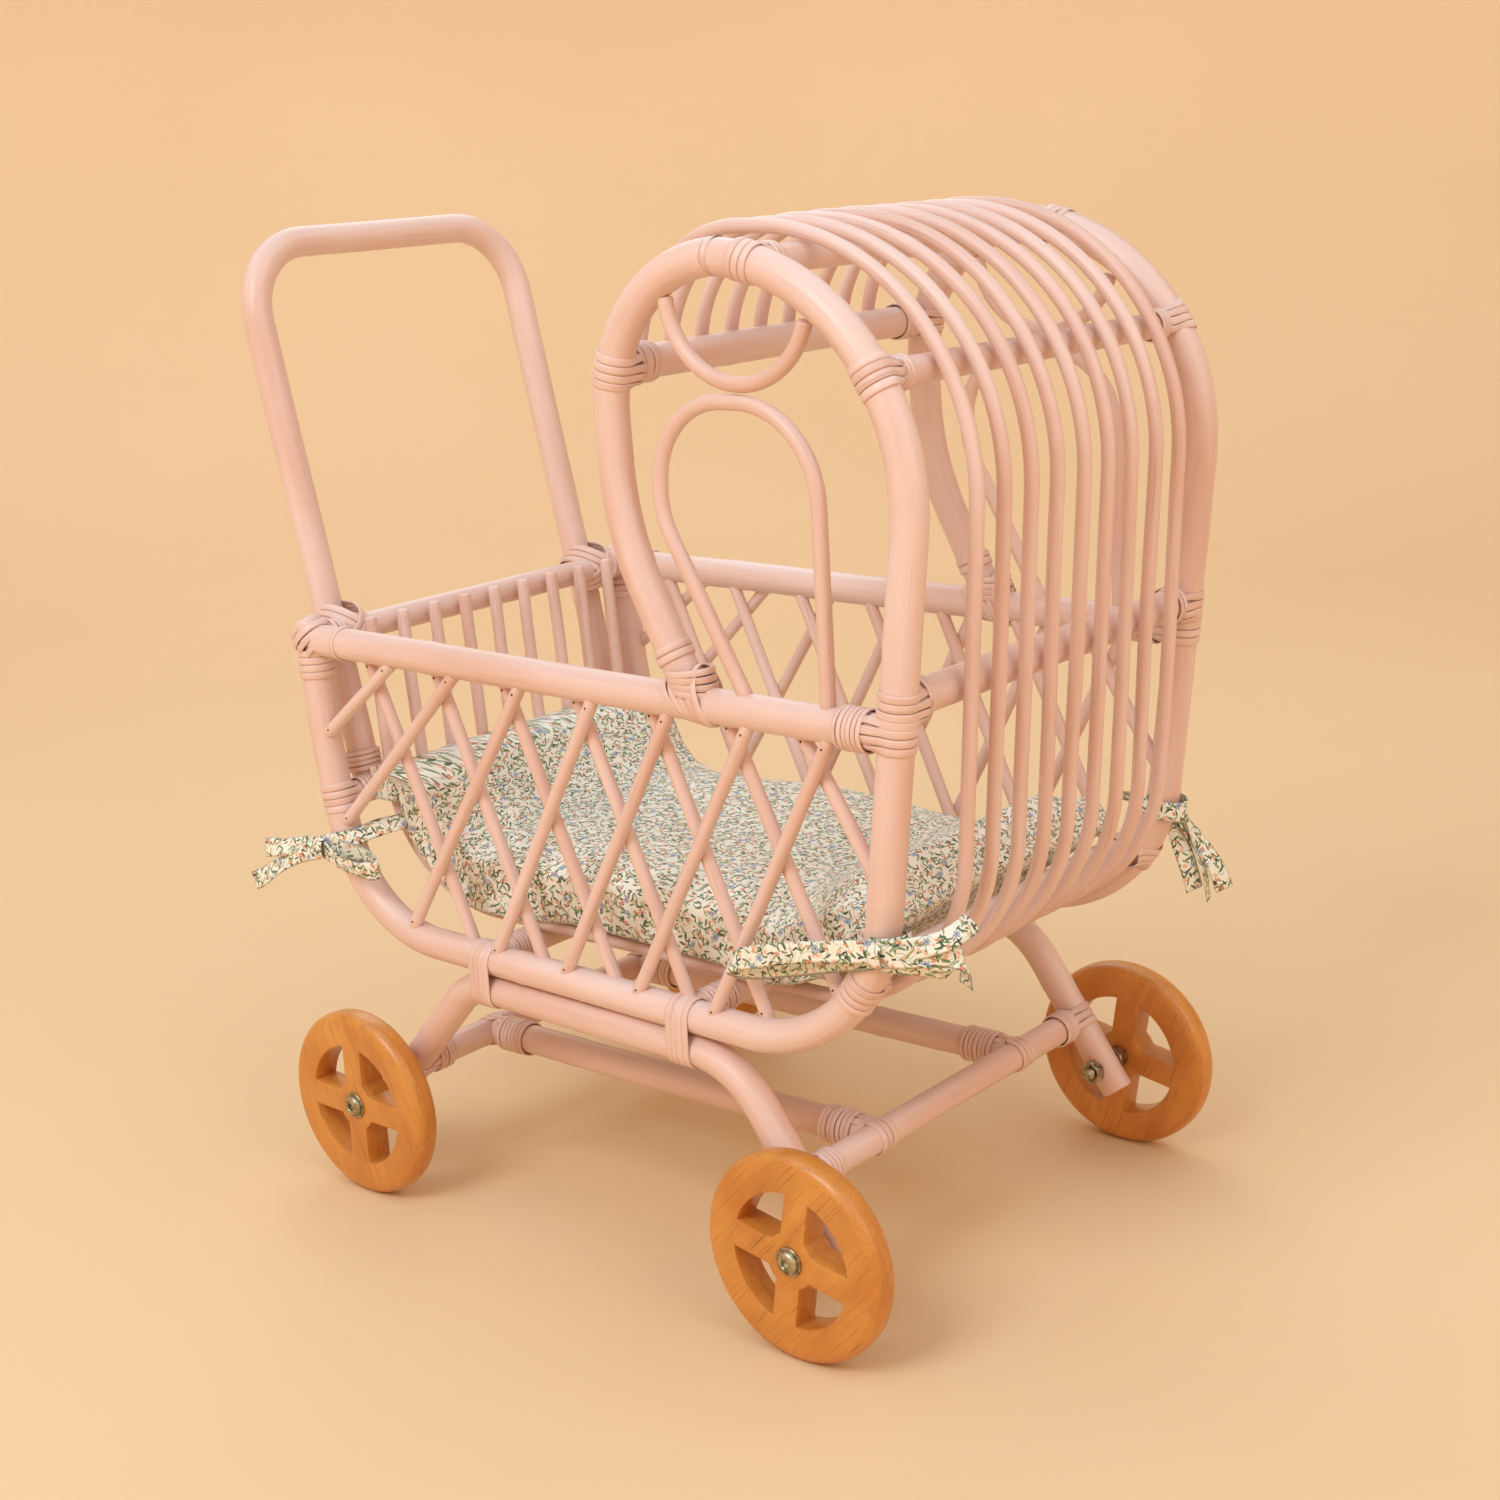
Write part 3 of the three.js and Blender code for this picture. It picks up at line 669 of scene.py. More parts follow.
def add_straps(
    shape, centre, pole_way, bar_way, pole_r, bar_r, count, reach, width=STRIP_WIDTH,
    crossed=False, seed=1, spread=None,
):
    """Strips that run along a bar, round the pole that it meets and back along the bar."""
    chance = random.Random(seed)
    out_way = (bar_way - pole_way * bar_way.dot(pole_way)).normalized()
    side_way = pole_way.cross(out_way)
    pitch = (width + 0.25) if spread is None else spread
    for i in range(count):
        height = (i - (count - 1) / 2) * pitch + chance.uniform(-0.2, 0.2)
        tail_height = max(-0.8 * bar_r, min(0.8 * bar_r, height))
        if crossed:
            tail_height = -tail_height
        flank = math.sqrt(max(bar_r ** 2 - tail_height ** 2, 1.0))
        lift = pole_r + chance.uniform(0.05, 0.35)
        points, outs = [], []
        for sign in (1, -1):
            tail_out = pole_way * (tail_height / bar_r) + side_way * (sign * flank / bar_r)
            far = centre + bar_way * (reach * MM)
            tail = far + pole_way * (tail_height * MM) + side_way * (sign * (flank + 0.1) * MM)
            close = tail + bar_way * (-0.28 * reach * MM)
            run = [(tail, tail_out), (close, tail_out)]
            arc = []
            for k in range(8):
                angle = math.radians(80 + 100 * k / 7)
                way = out_way * math.cos(angle) + side_way * (sign * math.sin(angle))
                arc.append((centre + pole_way * (height * MM) + way * (lift * MM), way))
            run += arc
            if sign < 0:
                run = list(reversed(run[:-1]))
            points += [p for p, _ in run]
            outs += [o for _, o in run]
        add_strip(shape, points, outs, width, STRIP_THICK, seed=chance.random() * 9)


def add_loop(shape, centre, first, second, reach_a, reach_b, width, seed, steps=28):
    """A closed strip round an oval with half sizes reach_a along first and reach_b along second."""
    points, outs = [], []
    for k in range(steps):
        angle = 2 * math.pi * k / steps
        c, n = math.cos(angle), math.sin(angle)
        points.append(centre + first * (reach_a * c * MM) + second * (reach_b * n * MM))
        outs.append((first * (c / reach_a) + second * (n / reach_b)).normalized())
    add_strip(shape, points, outs, width, STRIP_THICK, closed=True, seed=seed)


def add_nail(shape, place, out, radius=0.9):
    """A small domed nail head."""
    first, second = around(out.normalized(), Vector((0.3, 0.5, 0.8)))
    made = []
    for size, lift in ((1.0, -0.5), (1.0, 0.15), (0.72, 0.4), (0.3, 0.52)):
        ring = []
        for k in range(10):
            angle = 2 * math.pi * k / 10
            way = first * math.cos(angle) + second * math.sin(angle)
            ring.append(place + way * (size * radius * MM) + out * (lift * MM))
        made.append(shape.ring(ring, [tuple(p) for p in ring]))
    for one, two in zip(made, made[1:]):
        shape.skin(one, two)
    shape.cap(made[0], False)
    shape.cap(made[-1], True)


# ---- poles ----------------------------------------------------------------------------------
REAR_POST = [(220, 362), (214, 281, 200), (193, SILL_Z, 80)]
FRONT_POST = [(-211.5, SILL_Z, 97), (-257.5, 583.5, 121)]
ARCH_BACK = [(-47, 583.5, 81), (-52.5, 438, 166), (-97.7, 352)]
HOOP = bend(REAR_POST + FRONT_POST + ARCH_BACK)
BUTT_X = 134                       # crossbars run this far out, just into the poles

CROSSBARS = {
    "hood_rear_crossbar": (-50.6, 526, 9.2),
    "hood_top_crossbar": (-148, 580.3, 7.6),
    "hood_front_crossbar": (-223.8, 526.4, 7.3),
    "front_middle_crossbar": (-232, 366, 9.4),
    "front_bottom_crossbar": (-198, 213, 7.2),
    "rear_top_crossbar": (216.5, 351, 8.2),
    "rear_bottom_crossbar": (207, 250, 7),
}
FLOOR_BARS = {"front_floor_crossbar": -80, "rear_floor_crossbar": 80}
FLOOR_BAR_R = 8.3
FLOOR_BAR_Z = 168.4

hoops, rails = {}, {}


def single_pole(name, line, radius, joints, seed, look=None, slot="painted_pole", sides=28, **how):
    shape = Shape()
    add_pole(shape, line, radius, sides, seed, joints, **how)
    return shape.object(f"{name}_pole", look or painted_pole, slot, replaces=[name])


def build_hoops_and_rails():
    for seed, (side, sign) in enumerate(SIDES, 1):
        hoops[side] = Line(in_side_plane(sign * SIDE_X, HOOP))
        single_pole(f"{side}_side_hoop", hoops[side], POLE_R, 7, seed, wander=0.5)
        rails[side] = Line([at(sign * SIDE_X, 216, RAIL_Z), at(sign * SIDE_X, -228, RAIL_Z)])
        single_pole(f"{side}_top_rail", rails[side], POLE_R, 2, seed + 10, wander=0.5)


bars = {}


def build_crossbars():
    for seed, (name, (y, z, radius)) in enumerate(CROSSBARS.items(), 21):
        bars[name] = Line([at(-BUTT_X, y, z), at(BUTT_X, y, z)])
        single_pole(name, bars[name], radius, 1, seed, wander=0.4)
    for seed, (name, y) in enumerate(FLOOR_BARS.items(), 41):
        bars[name] = Line([at(-BUTT_X, y, FLOOR_BAR_Z), at(BUTT_X, y, FLOOR_BAR_Z)])
        single_pole(name, bars[name], FLOOR_BAR_R, 1, seed, wander=0.3)


RIB_TOP_Z = 595.8
CANE_PATH = bend(
    [
        (203, 359),
        (190, FLOOR_Z, 85),
        (-236.5, FLOOR_Z, 100),
        (-261.3, RIB_TOP_Z, 129),
        (-35.9, RIB_TOP_Z, 74),
        (-36.1, 519),
    ]
)
CANE_COUNT = 9
REAR_PITCH = 26.6
FRONT_PITCH = 24.4                 # the canes stand closer together at the hood


def cane_line(number):
    """The centre line of a cane, where number counts the canes from the middle one."""
    rear, front = CANE_PATH[0].x, min(p.x for p in CANE_PATH)
    points = []
    for y, z in CANE_PATH:
        share = (y - front) / (rear - front)
        points.append(at(number * (FRONT_PITCH + share * (REAR_PITCH - FRONT_PITCH)), y, z))
    return Line(points)


def build_basket_canes():
    for i in range(CANE_COUNT):
        line = cane_line(i - (CANE_COUNT - 1) / 2)
        single_pole(
            f"basket_cane_{i + 1}", line, CANE_R, 0, 50 + i, painted_cane, "painted_cane",
            sides=14, wander=0.9,
        )


# ---- lattice --------------------------------------------------------------------------------
LATTICE_OUTER = [
    ((147, 340), (213, 288)),
    ((91, 340), (203, 231)),
    ((35, 340), (141, 180)),
    ((-23, 340), (66, 180)),
    ((-80, 340), (8, 180)),
    ((-136, 340), (-49, 180)),
    ((-190, 340), (-106, 180)),
]
LATTICE_INNER = [
    ((170, 340), (99, 180)),
    ((110, 340), (39, 180)),
    ((52, 340), (-20, 180)),
    ((-6, 340), (-77, 180)),
    ((-63, 340), (-135, 180)),
    ((-119, 340), (-185, 205)),
    ((-169, 340), (-213, 272)),
]
LAYER_SHIFT = 3.4
LATTICE_BITE = 7.2                 # canes stop this far from a pole's centre line


def run_to_frame(start, way):
    """Follows a lattice cane from start until it enters the hoop or the top rail."""
    point = start.copy()
    hoop_reach = [p for p in HOOP if p.y < RAIL_Z + 20]
    for _ in range(80):
        near_hoop = min((p - point).length for p in hoop_reach)
        if near_hoop < LATTICE_BITE or point.y > RAIL_Z - LATTICE_BITE:
            break
        point = point + way
    return point


def lattice_ends(top, bottom):
    top, bottom = Vector(top), Vector(bottom)
    middle = (top + bottom) / 2
    way = (top - middle).normalized()
    return run_to_frame(middle + way * 20, way), run_to_frame(middle - way * 20, -way)


def build_lattices():
    for side, sign in SIDES:
        shape, nails = Shape(), Shape()
        layers = [(LATTICE_OUTER, LAYER_SHIFT), (LATTICE_INNER, -LAYER_SHIFT)]
        for layer, (canes, shift) in enumerate(layers):
            for i, (top, bottom) in enumerate(canes):
                upper, lower = lattice_ends(top, bottom)
                x = sign * (SIDE_X + shift)
                line = Line([at(x, *upper), at(x, *lower)])
                seed = 100 + 20 * layer + i + (50 if sign > 0 else 0)
                add_pole(shape, line, CANE_R, 14, seed, wander=0.5)
                along = (lower - upper).normalized()
                for end, way in ((upper, 1), (lower, -1)):
                    spot = end + along * (way * 5.5)
                    out = Vector((sign, 0, 0))
                    add_nail(nails, at(x + sign * (CANE_R - 0.1), *spot), out, 0.7)
        replaced = [f"{side}_lattice"]
        shape.object(f"{side}_lattice_canes", painted_cane, "painted_cane", replaces=replaced)
        nails.object(f"{side}_lattice_nails", nail_steel, "steel")


# ---- loops and handle -----------------------------------------------------------------------
UPPER_LOOP_CENTRE = (-139, 567)
UPPER_LOOP_R = 47
LOWER_LOOP = bend([(-134.5, 357), (-81, 450, 45), (-84, 511, 45), (-187, 511, 50), (-189, 357)])


def upper_loop():
    points = []
    for i in range(41):
        angle = math.radians(198 + 157 * i / 40)
        y = UPPER_LOOP_CENTRE[0] + UPPER_LOOP_R * math.cos(angle)
        points.append((y, UPPER_LOOP_CENTRE[1] + UPPER_LOOP_R * math.sin(angle)))
    return points


def build_loops():
    for seed, (side, sign) in enumerate(SIDES, 70):
        for name, path in (("upper_loop", upper_loop()), ("lower_loop", LOWER_LOOP)):
            line = Line(in_side_plane(sign * SIDE_X, path))
            single_pole(
                f"{side}_{name}", line, LOOP_R, 0, seed + len(name), painted_cane, "painted_cane",
                sides=16, wander=0.5,
            )


HANDLE_HALF = 112
HANDLE_FOOT = (214.5, 261)
HANDLE_TOP_Z = 586.5
HANDLE_LEAN = 0.222
HANDLE_BEND = 46
HANDLE_SINK = 5                    # the legs' ends stand this far into the bar's top


def handle_line():
    rise = HANDLE_TOP_Z - HANDLE_FOOT[1]
    outline = bend(
        [
            (-HANDLE_HALF, -HANDLE_SINK),
            (-HANDLE_HALF, rise, HANDLE_BEND),
            (HANDLE_HALF, rise, HANDLE_BEND),
            (HANDLE_HALF, -HANDLE_SINK),
        ]
    )
    return Line(
        [at(x, HANDLE_FOOT[0] + up * HANDLE_LEAN, HANDLE_FOOT[1] + up) for x, up in outline]
    )


handle = handle_line()

# ---- chassis --------------------------------------------------------------------------------
FRONT_BEND_Y = -115
REAR_BEND_Y = 98
LEG_TAIL = 18
LOW_BAR_R = 8.7
STRETCHER_R = 9.3
STRETCHER_X = 71
STRETCHER_GAP = 5                  # from a low crossbar's centre line to the stretcher's end
LOW_FRONT_Z = 87
LOW_REAR_Z = 80


def past_axle(bend_y, axle_y):
    along = Vector((axle_y - bend_y, AXLE_Z - CHASSIS_Z))
    end = along.normalized() * (along.length + LEG_TAIL)
    return (bend_y + end.x, CHASSIS_Z + end.y)


def leg_y(bend_y, axle_y, z):
    return bend_y + (axle_y - bend_y) * (CHASSIS_Z - z) / (CHASSIS_Z - AXLE_Z)


CHASSIS = bend(
    [
        past_axle(REAR_BEND_Y, AXLE_Y),
        (REAR_BEND_Y, CHASSIS_Z, 40),
        (FRONT_BEND_Y, CHASSIS_Z, 60),
        past_axle(FRONT_BEND_Y, -AXLE_Y),
    ]
)
LOW_FRONT = (leg_y(FRONT_BEND_Y, -AXLE_Y, LOW_FRONT_Z), LOW_FRONT_Z)
LOW_REAR = (leg_y(REAR_BEND_Y, AXLE_Y, LOW_REAR_Z), LOW_REAR_Z)
chassis = {}


def build_chassis():
    for seed, (side, sign) in enumerate(SIDES, 81):
        chassis[side] = Line(in_side_plane(sign * SIDE_X, CHASSIS))
        single_pole(f"{side}_chassis_rail", chassis[side], POLE_R, 3, seed, wander=0.4)
        x = sign * STRETCHER_X
        name = f"{side}_stretcher"
        front = at(x, LOW_FRONT[0] + STRETCHER_GAP, LOW_FRONT[1])
        bars[name] = Line([front, at(x, LOW_REAR[0] - STRETCHER_GAP, LOW_REAR[1])])
        single_pole(name, bars[name], STRETCHER_R, 2, seed + 4, wander=0.5)
    for seed, (name, (y, z)) in enumerate(
        (("low_front_crossbar", LOW_FRONT), ("low_rear_crossbar", LOW_REAR)), 91
    ):
        bars[name] = Line([at(-BUTT_X, y, z), at(BUTT_X, y, z)])
        single_pole(name, bars[name], LOW_BAR_R, 1, seed, wander=0.4)


# ---- lashings -------------------------------------------------------------------------------
def lash_bar_to_pole(
    name, pole, pole_r, bar, bar_r, bar_end, straps=4, turns=4, reach=15.5, crossed=False, seed=1,
    thin=THIN_STRIP,
):
    """A bar's end butted on a pole: straps round the pole, held by turns round the bar."""
    shape = Shape()
    end = bar.points[0] if bar_end == 0 else bar.points[-1]
    other = bar.points[-1] if bar_end == 0 else bar.points[0]
    bar_way = (other - end).normalized()
    s = pole.nearest(end)
    centre = pole.at(s)
    add_straps(
        shape, centre, pole.tangent(s), bar_way, pole_r, bar_r, straps, reach,
        crossed=crossed, seed=seed,
    )
    if turns:
        offset = (end - centre).dot(bar_way)
        middle = reach * MM - offset + turns * (thin + 0.25) * MM / 2 - 2 * MM
        from_start = middle if bar_end == 0 else bar.length - middle
        add_coil(shape, bar, from_start, turns, bar_r + STRIP_THICK * 0.9, thin, seed=seed + 3)
    return shape.object(name, rattan_binding, "rattan_binding")


def coil_piece(name, line, s, turns, radius, width=STRIP_WIDTH, seed=1):
    shape = Shape()
    add_coil(shape, line, s, turns, radius + 0.05, width, seed=seed)
    return shape.object(name, rattan_binding, "rattan_binding")


def hoop_lashings():
    """Where the crossbars meet the hoops: name, straps, turns on the bar."""
    joints = [
        ("hood_rear_crossbar", 4, 5),
        ("hood_top_crossbar", 3, 2),
        ("hood_front_crossbar", 4, 3),
        ("front_middle_crossbar", 4, 2),
        ("front_bottom_crossbar", 4, 3),
        ("rear_bottom_crossbar", 4, 4),
    ]
    for k, (name, straps, turns) in enumerate(joints):
        for end, (side, _) in enumerate(SIDES):
            lash_bar_to_pole(
                f"{side}_{name}_lashing", hoops[side], POLE_R, bars[name], CROSSBARS[name][2], end,
                straps, turns, seed=300 + 7 * k + end,
            )


def build_lashings():
    hoop_lashings()
    for end, (side, sign) in enumerate(SIDES):
        lash_bar_to_pole(
            f"{side}_rail_front_lashing", hoops[side], POLE_R, rails[side], POLE_R, 1, 4, 6,
            reach=17, seed=400 + end, thin=2.8,
        )
        arch_foot(side, sign, 410 + end)
        rear_corner(side, sign, 440 + end)
        for k, low in enumerate(("front", "rear")):
            bar = bars[f"low_{low}_crossbar"]
            lash_bar_to_pole(
                f"{side}_low_{low}_lashing", chassis[side], POLE_R, bar, LOW_BAR_R, end, 3, 4,
                seed=450 + 2 * k + end,
            )
            lash_bar_to_pole(
                f"{side}_stretcher_{low}_lashing", bar, LOW_BAR_R, bars[f"{side}_stretcher"],
                STRETCHER_R, k, 3, 7, crossed=True, seed=460 + 2 * k + end,
            )
        handle_lashings(side, sign, 480 + end)
        floor_turns(side, end)
        rail_binding(side, sign)


def handle_lashings(side, sign, seed):
    """A handle leg's foot on the lower rear crossbar, and its crossing of the upper one."""
    def on_leg(up):
        return at(sign * HANDLE_HALF, HANDLE_FOOT[0] + up * HANDLE_LEAN, HANDLE_FOOT[1] + up)

    lash_bar_to_pole(
        f"{side}_handle_foot_lashing", bars["rear_bottom_crossbar"],
        CROSSBARS["rear_bottom_crossbar"][2], Line([on_leg(-HANDLE_SINK), on_leg(70)]), HANDLE_R,
        0, 3, 4, reach=13, seed=seed,
    )
    bar_y, bar_z, bar_r = CROSSBARS["rear_top_crossbar"]
    leg = on_leg(bar_z - HANDLE_FOOT[1])
    centre = (leg + at(sign * HANDLE_HALF, bar_y, bar_z)) / 2
    backward = Vector((0, 1, 0))
    shape = Shape()
    for way in (1, -1):
        slant = Vector((way, 0, 1)).normalized()
        beside = slant.cross(backward)
        for i in range(3):
            shift = beside * ((i - 1) * (STRIP_WIDTH + 0.3) * MM)
            add_loop(
                shape, centre + shift, backward, slant, HANDLE_R + bar_r + 2.6 + way * 0.5,
                HANDLE_R + 6.3, STRIP_WIDTH, seed + i + 3 * way,
            )
    shape.object(f"{side}_handle_crossing_lashing", rattan_binding, "rattan_binding")


def close_rings(shape, made):
    """Joins rings into a tube and caps both ends."""
    for one, two in zip(made, made[1:]):
        shape.skin(one, two)
    shape.cap(made[0], False)
    shape.cap(made[-1], True)


def add_sleeve(shape, line, middle, length, radius, sides=24):
    """A thin plain sleeve round a line, which shows between the strips wound over it; its dark colour
    is bare cane and painted shade in those gaps.
    """
    made = []
    for s in (middle - length / 2, middle, middle + length / 2):
        first, second = around(line.tangent(s), Vector((1, 0, 0)))
        ring = []
        for k in range(sides):
            angle = 2 * math.pi * k / sides
            out = first * math.cos(angle) + second * math.sin(angle)
            ring.append(line.at(s) + out * radius * MM)
        made.append(shape.ring(ring, [tuple(p) for p in ring]))
    close_rings(shape, made)


ARCH_FOOT_Y = -100.5
TURNS_FROM_END = 27                # middle of the turns, from the end of the pole they are on


def arch_foot(side, sign, seed):
    """Where the hoop comes down on the top rail: two rings, upright loops and slanting strips."""
    hoop, rail = hoops[side], rails[side]
    turns_at = hoop.length - TURNS_FROM_END * MM
    coil_piece(f"{side}_arch_foot_turns", hoop, turns_at, 2, POLE_R, seed=seed)
    foot = at(sign * SIDE_X, ARCH_FOOT_Y, RAIL_Z)
    up = -hoop.tangent(hoop.length - 12 * MM)
    across = Vector((1, 0, 0))
    along = up.cross(across).normalized()
    shape = Shape()
    for i in range(5):
        shift = -9.5 + i * (STRIP_WIDTH + 0.75)
        lift = 5.5 - 0.9 * i
        centre = foot + Vector((0, shift * MM, 0)) + up * (lift * MM)
        lean = (up + along * (0.10 * (i - 2))).normalized()
        add_loop(
            shape, centre, across, lean, POLE_R + 0.75, POLE_R + 1.4 + lift, STRIP_WIDTH, seed + i
        )
    for i in range(4):
        centre = foot + up * ((7.0 + 3.4 * i) * MM) - along * ((1.5 + 0.8 * i) * MM)
        slant = (along + up * (0.62 - 0.08 * i)).normalized()
        add_loop(
            shape, centre, across, slant, POLE_R + 1.7, POLE_R + 3.6, STRIP_WIDTH * 0.85,
            seed + 7 + i,
        )
    shape.object(f"{side}_arch_foot_lashing", rattan_binding, "rattan_binding")
    # dark sleeves under the strips: bare cane and painted shade in the gaps between them
    gap = Shape()
    add_sleeve(gap, rail, rail.nearest(foot), 14 * MM, POLE_R + 0.25)
    add_sleeve(gap, hoop, hoop.length - 6.5 * MM, 7 * MM, POLE_R + 0.3)
    gap.object(f"{side}_arch_foot_gap_shade", bare_cane_and_gap_shade, "rattan_binding")


def rear_corner(side, sign, seed):
    """The post's top, the end of the top rail and the rear crossbar, bound with slanting loops."""
    shape = Shape()
    post_top = hoops[side].points[0]
    centre = Vector((post_top.x, post_top.y - 1.5 * MM, RAIL_Z * MM))
    slant = Vector((0, -1, 1)).normalized()
    normal = Vector((0, 1, 1)).normalized()
    across = Vector((1, 0, 0))
    for i in range(4):
        shift = (i - 1.5) * (STRIP_WIDTH + 1.1)
        squeeze = 1 - 0.010 * shift * shift / 4
        add_loop(
            shape, centre + normal * (shift * MM), across, slant,
            (POLE_R + 1.6) * squeeze, (POLE_R + 4.0) * squeeze, STRIP_WIDTH, seed + i,
        )
    turns_at = TURNS_FROM_END * MM
    add_coil(shape, hoops[side], turns_at, 4, POLE_R + 0.1, seed=seed)
    add_coil(shape, rails[side], turns_at, 1, POLE_R + 0.1, THIN_STRIP, seed=seed + 3)
    bar = bars["rear_top_crossbar"]
    bar_r = CROSSBARS["rear_top_crossbar"][2]
    from_start = 12 * MM if sign < 0 else bar.length - 12 * MM
    add_coil(shape, bar, from_start, 5, bar_r + 0.1, THIN_STRIP, seed=seed + 5)
    shape.object(f"{side}_rear_corner_lashing", rattan_binding, "rattan_binding")
    # a dark sleeve under the strips: bare cane and painted shade in the gaps between them
    gap = Shape()
    add_sleeve(gap, hoops[side], 15 * MM, 6 * MM, POLE_R + 0.3)
    gap.object(f"{side}_rear_corner_gap", bare_cane_and_gap_shade, "rattan_binding")


FLOOR_TURNS_INSET = 17


def floor_turns(side, end):
    """Many turns round the ends of the floor crossbars."""
    for k, name in enumerate(FLOOR_BARS):
        bar = bars[name]
        inset = FLOOR_TURNS_INSET * MM
        s = inset if end == 0 else bar.length - inset
        coil_piece(f"{side}_{name}_turns", bar, s, 8, FLOOR_BAR_R, 2.6, seed=470 + 2 * k + end)


RAIL_BINDING_Y = {"front": -80, "rear": 80}
RAIL_BINDING_STRIPS = 4


def rail_binding(side, sign):
    """Upright loops that hold the hoop's sill to the chassis rail below it."""
    for end, y in RAIL_BINDING_Y.items():
        chance = random.Random(int(500 + y + sign))
        shape = Shape()
        reach = POLE_R + 0.35
        for i in range(RAIL_BINDING_STRIPS):
            offset = (i - (RAIL_BINDING_STRIPS - 1) / 2) * (STRIP_WIDTH * 0.93)
            lean = chance.uniform(-0.7, 0.7)
            points, outs = [], []
            for centre_z, first in ((SILL_Z, 0), (CHASSIS_Z, 180)):
                for k in range(13):
                    angle = math.radians(first + 180 * k / 12)
                    out = Vector((math.cos(angle), 0, math.sin(angle)))
                    side_shift = offset + lean * math.sin(angle)
                    points.append(at(sign * SIDE_X, y + side_shift, centre_z) + out * (reach * MM))
                    outs.append(out)
            add_strip(
                shape, points, outs, STRIP_WIDTH, STRIP_THICK + 0.1, closed=True,
                seed=i * 1.3 + y,
            )
        name = f"{side}_{end}_rail_binding"
        shape.object(f"{name}_strips", rattan_binding, "rattan_binding", replaces=[name])


# ---- wheels ---------------------------------------------------------------------------------
WHEEL_R = 60
WHEEL_WIDTH = 17.6
WHEEL_INNER_X = 158.6
HUB_R = 16
OPENING_R = 39
SPOKE_HALF = 8
BORE_R = 4.6
RIM_ROUND = 6.5
SPOKE_TURN = math.radians(9)


def wheel_angles(radius, spoke_steps, gap_steps):
    """Angles round a circle, with points exactly where the four spokes' edges cross it."""
    half = math.asin(SPOKE_HALF / radius)
    angles = []
    for quarter in range(4):
        base = quarter * math.pi / 2
        angles += [base - half + 2 * half * k / spoke_steps for k in range(spoke_steps)]
        gap = math.pi / 2 - 2 * half
        angles += [base + half + gap * k / gap_steps for k in range(gap_steps)]
    return angles


def wheel_face(mesh, turn):
    """The flat layout of hub, four spokes and rim, as one connected sheet of faces."""
    spoke_steps, gap_steps, spoke_rows = 4, 12, 5

    def circle(radius, angles):
        return [
            mesh.verts.new((radius * math.cos(a + turn), radius * math.sin(a + turn), 0))
            for a in angles
        ]

    def band(inner, outer):
        count = len(inner)
        for i in range(count):
            j = (i + 1) % count
            mesh.faces.new((inner[i], outer[i], outer[j], inner[j]))

    hub_angles = wheel_angles(HUB_R, spoke_steps, gap_steps)
    rim_angles = wheel_angles(OPENING_R, spoke_steps, gap_steps)
    hub = circle(HUB_R, hub_angles)
    band(circle(BORE_R, hub_angles), hub)
    opening = circle(OPENING_R, rim_angles)
    band(opening, circle(WHEEL_R, rim_angles))
    period = spoke_steps + gap_steps
    for quarter in range(4):
        low = hub[quarter * period : quarter * period + spoke_steps + 1]
        high = opening[quarter * period : quarter * period + spoke_steps + 1]
        rows = [low]
        for r in range(1, spoke_rows):
            share = r / spoke_rows
            rows.append([mesh.verts.new(a.co.lerp(b.co, share)) for a, b in zip(low, high)])
        rows.append(high)
        for one, two in zip(rows, rows[1:]):
            for k in range(spoke_steps):
                mesh.faces.new((one[k], two[k], two[k + 1], one[k + 1]))


def sharp_edges(mesh, low_r, high_r, angle=50):
    """Edges between low_r and high_r of the axis that turn by more than an angle."""
    found = []
    for edge in mesh.edges:
        if len(edge.link_faces) == 2 and edge.calc_face_angle() > math.radians(angle):
            far = max(Vector(v.co[:2]).length for v in edge.verts)
            if low_r < far < high_r:
                found.append(edge)
    return found


def build_wheel(side, sign, end, lean):
    mesh = bmesh.new()
    turn = SPOKE_TURN if end < 0 else 0.0
    wheel_face(mesh, turn)
    bmesh.ops.recalc_face_normals(mesh, faces=mesh.faces)
    raised = bmesh.ops.extrude_face_region(mesh, geom=list(mesh.faces))
    tops = [v for v in raised["geom"] if isinstance(v, bmesh.types.BMVert)]
    bmesh.ops.translate(mesh, verts=tops, vec=(0, 0, WHEEL_WIDTH))
    bmesh.ops.recalc_face_normals(mesh, faces=mesh.faces)
    rim = sharp_edges(mesh, WHEEL_R - 0.5, WHEEL_R + 0.5)
    bmesh.ops.bevel(mesh, geom=rim, offset=RIM_ROUND, segments=6, profile=0.5, affect="EDGES")
    openings = sharp_edges(mesh, 0, OPENING_R + 0.5)
    bmesh.ops.bevel(mesh, geom=openings, offset=0.7, segments=2, profile=0.5, affect="EDGES")
    name = f"{side}_{'front' if end < 0 else 'rear'}_wheel"
    data = bpy.data.meshes.new(f"{name}_wood")
    place = at(sign * WHEEL_INNER_X, end * AXLE_Y, AXLE_Z)
    grain_turn = Matrix.Rotation(lean, 3, "Z")
    grain = []
    for vert in mesh.verts:
        grain.append(grain_turn @ vert.co * MM + Vector((0.3 * sign, 0.7 * end, 0.11 * sign * end)))
        flat = vert.co.copy()
        vert.co = place + Vector((sign * flat.z, flat.x, flat.y)) * MM
    bmesh.ops.recalc_face_normals(mesh, faces=mesh.faces)
    mesh.to_mesh(data)
    mesh.free()
    attribute = data.attributes.new("grain", "FLOAT_VECTOR", "POINT")
    attribute.data.foreach_set("vector", [c for g in grain for c in g])
    data.polygons.foreach_set("use_smooth", [True] * len(data.polygons))
    data.set_sharp_from_angle(angle=math.radians(40))
    data.materials.append(wood)
    made = linked(f"{name}_wood", data)
    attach(made, name)
    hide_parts(name)
    return made


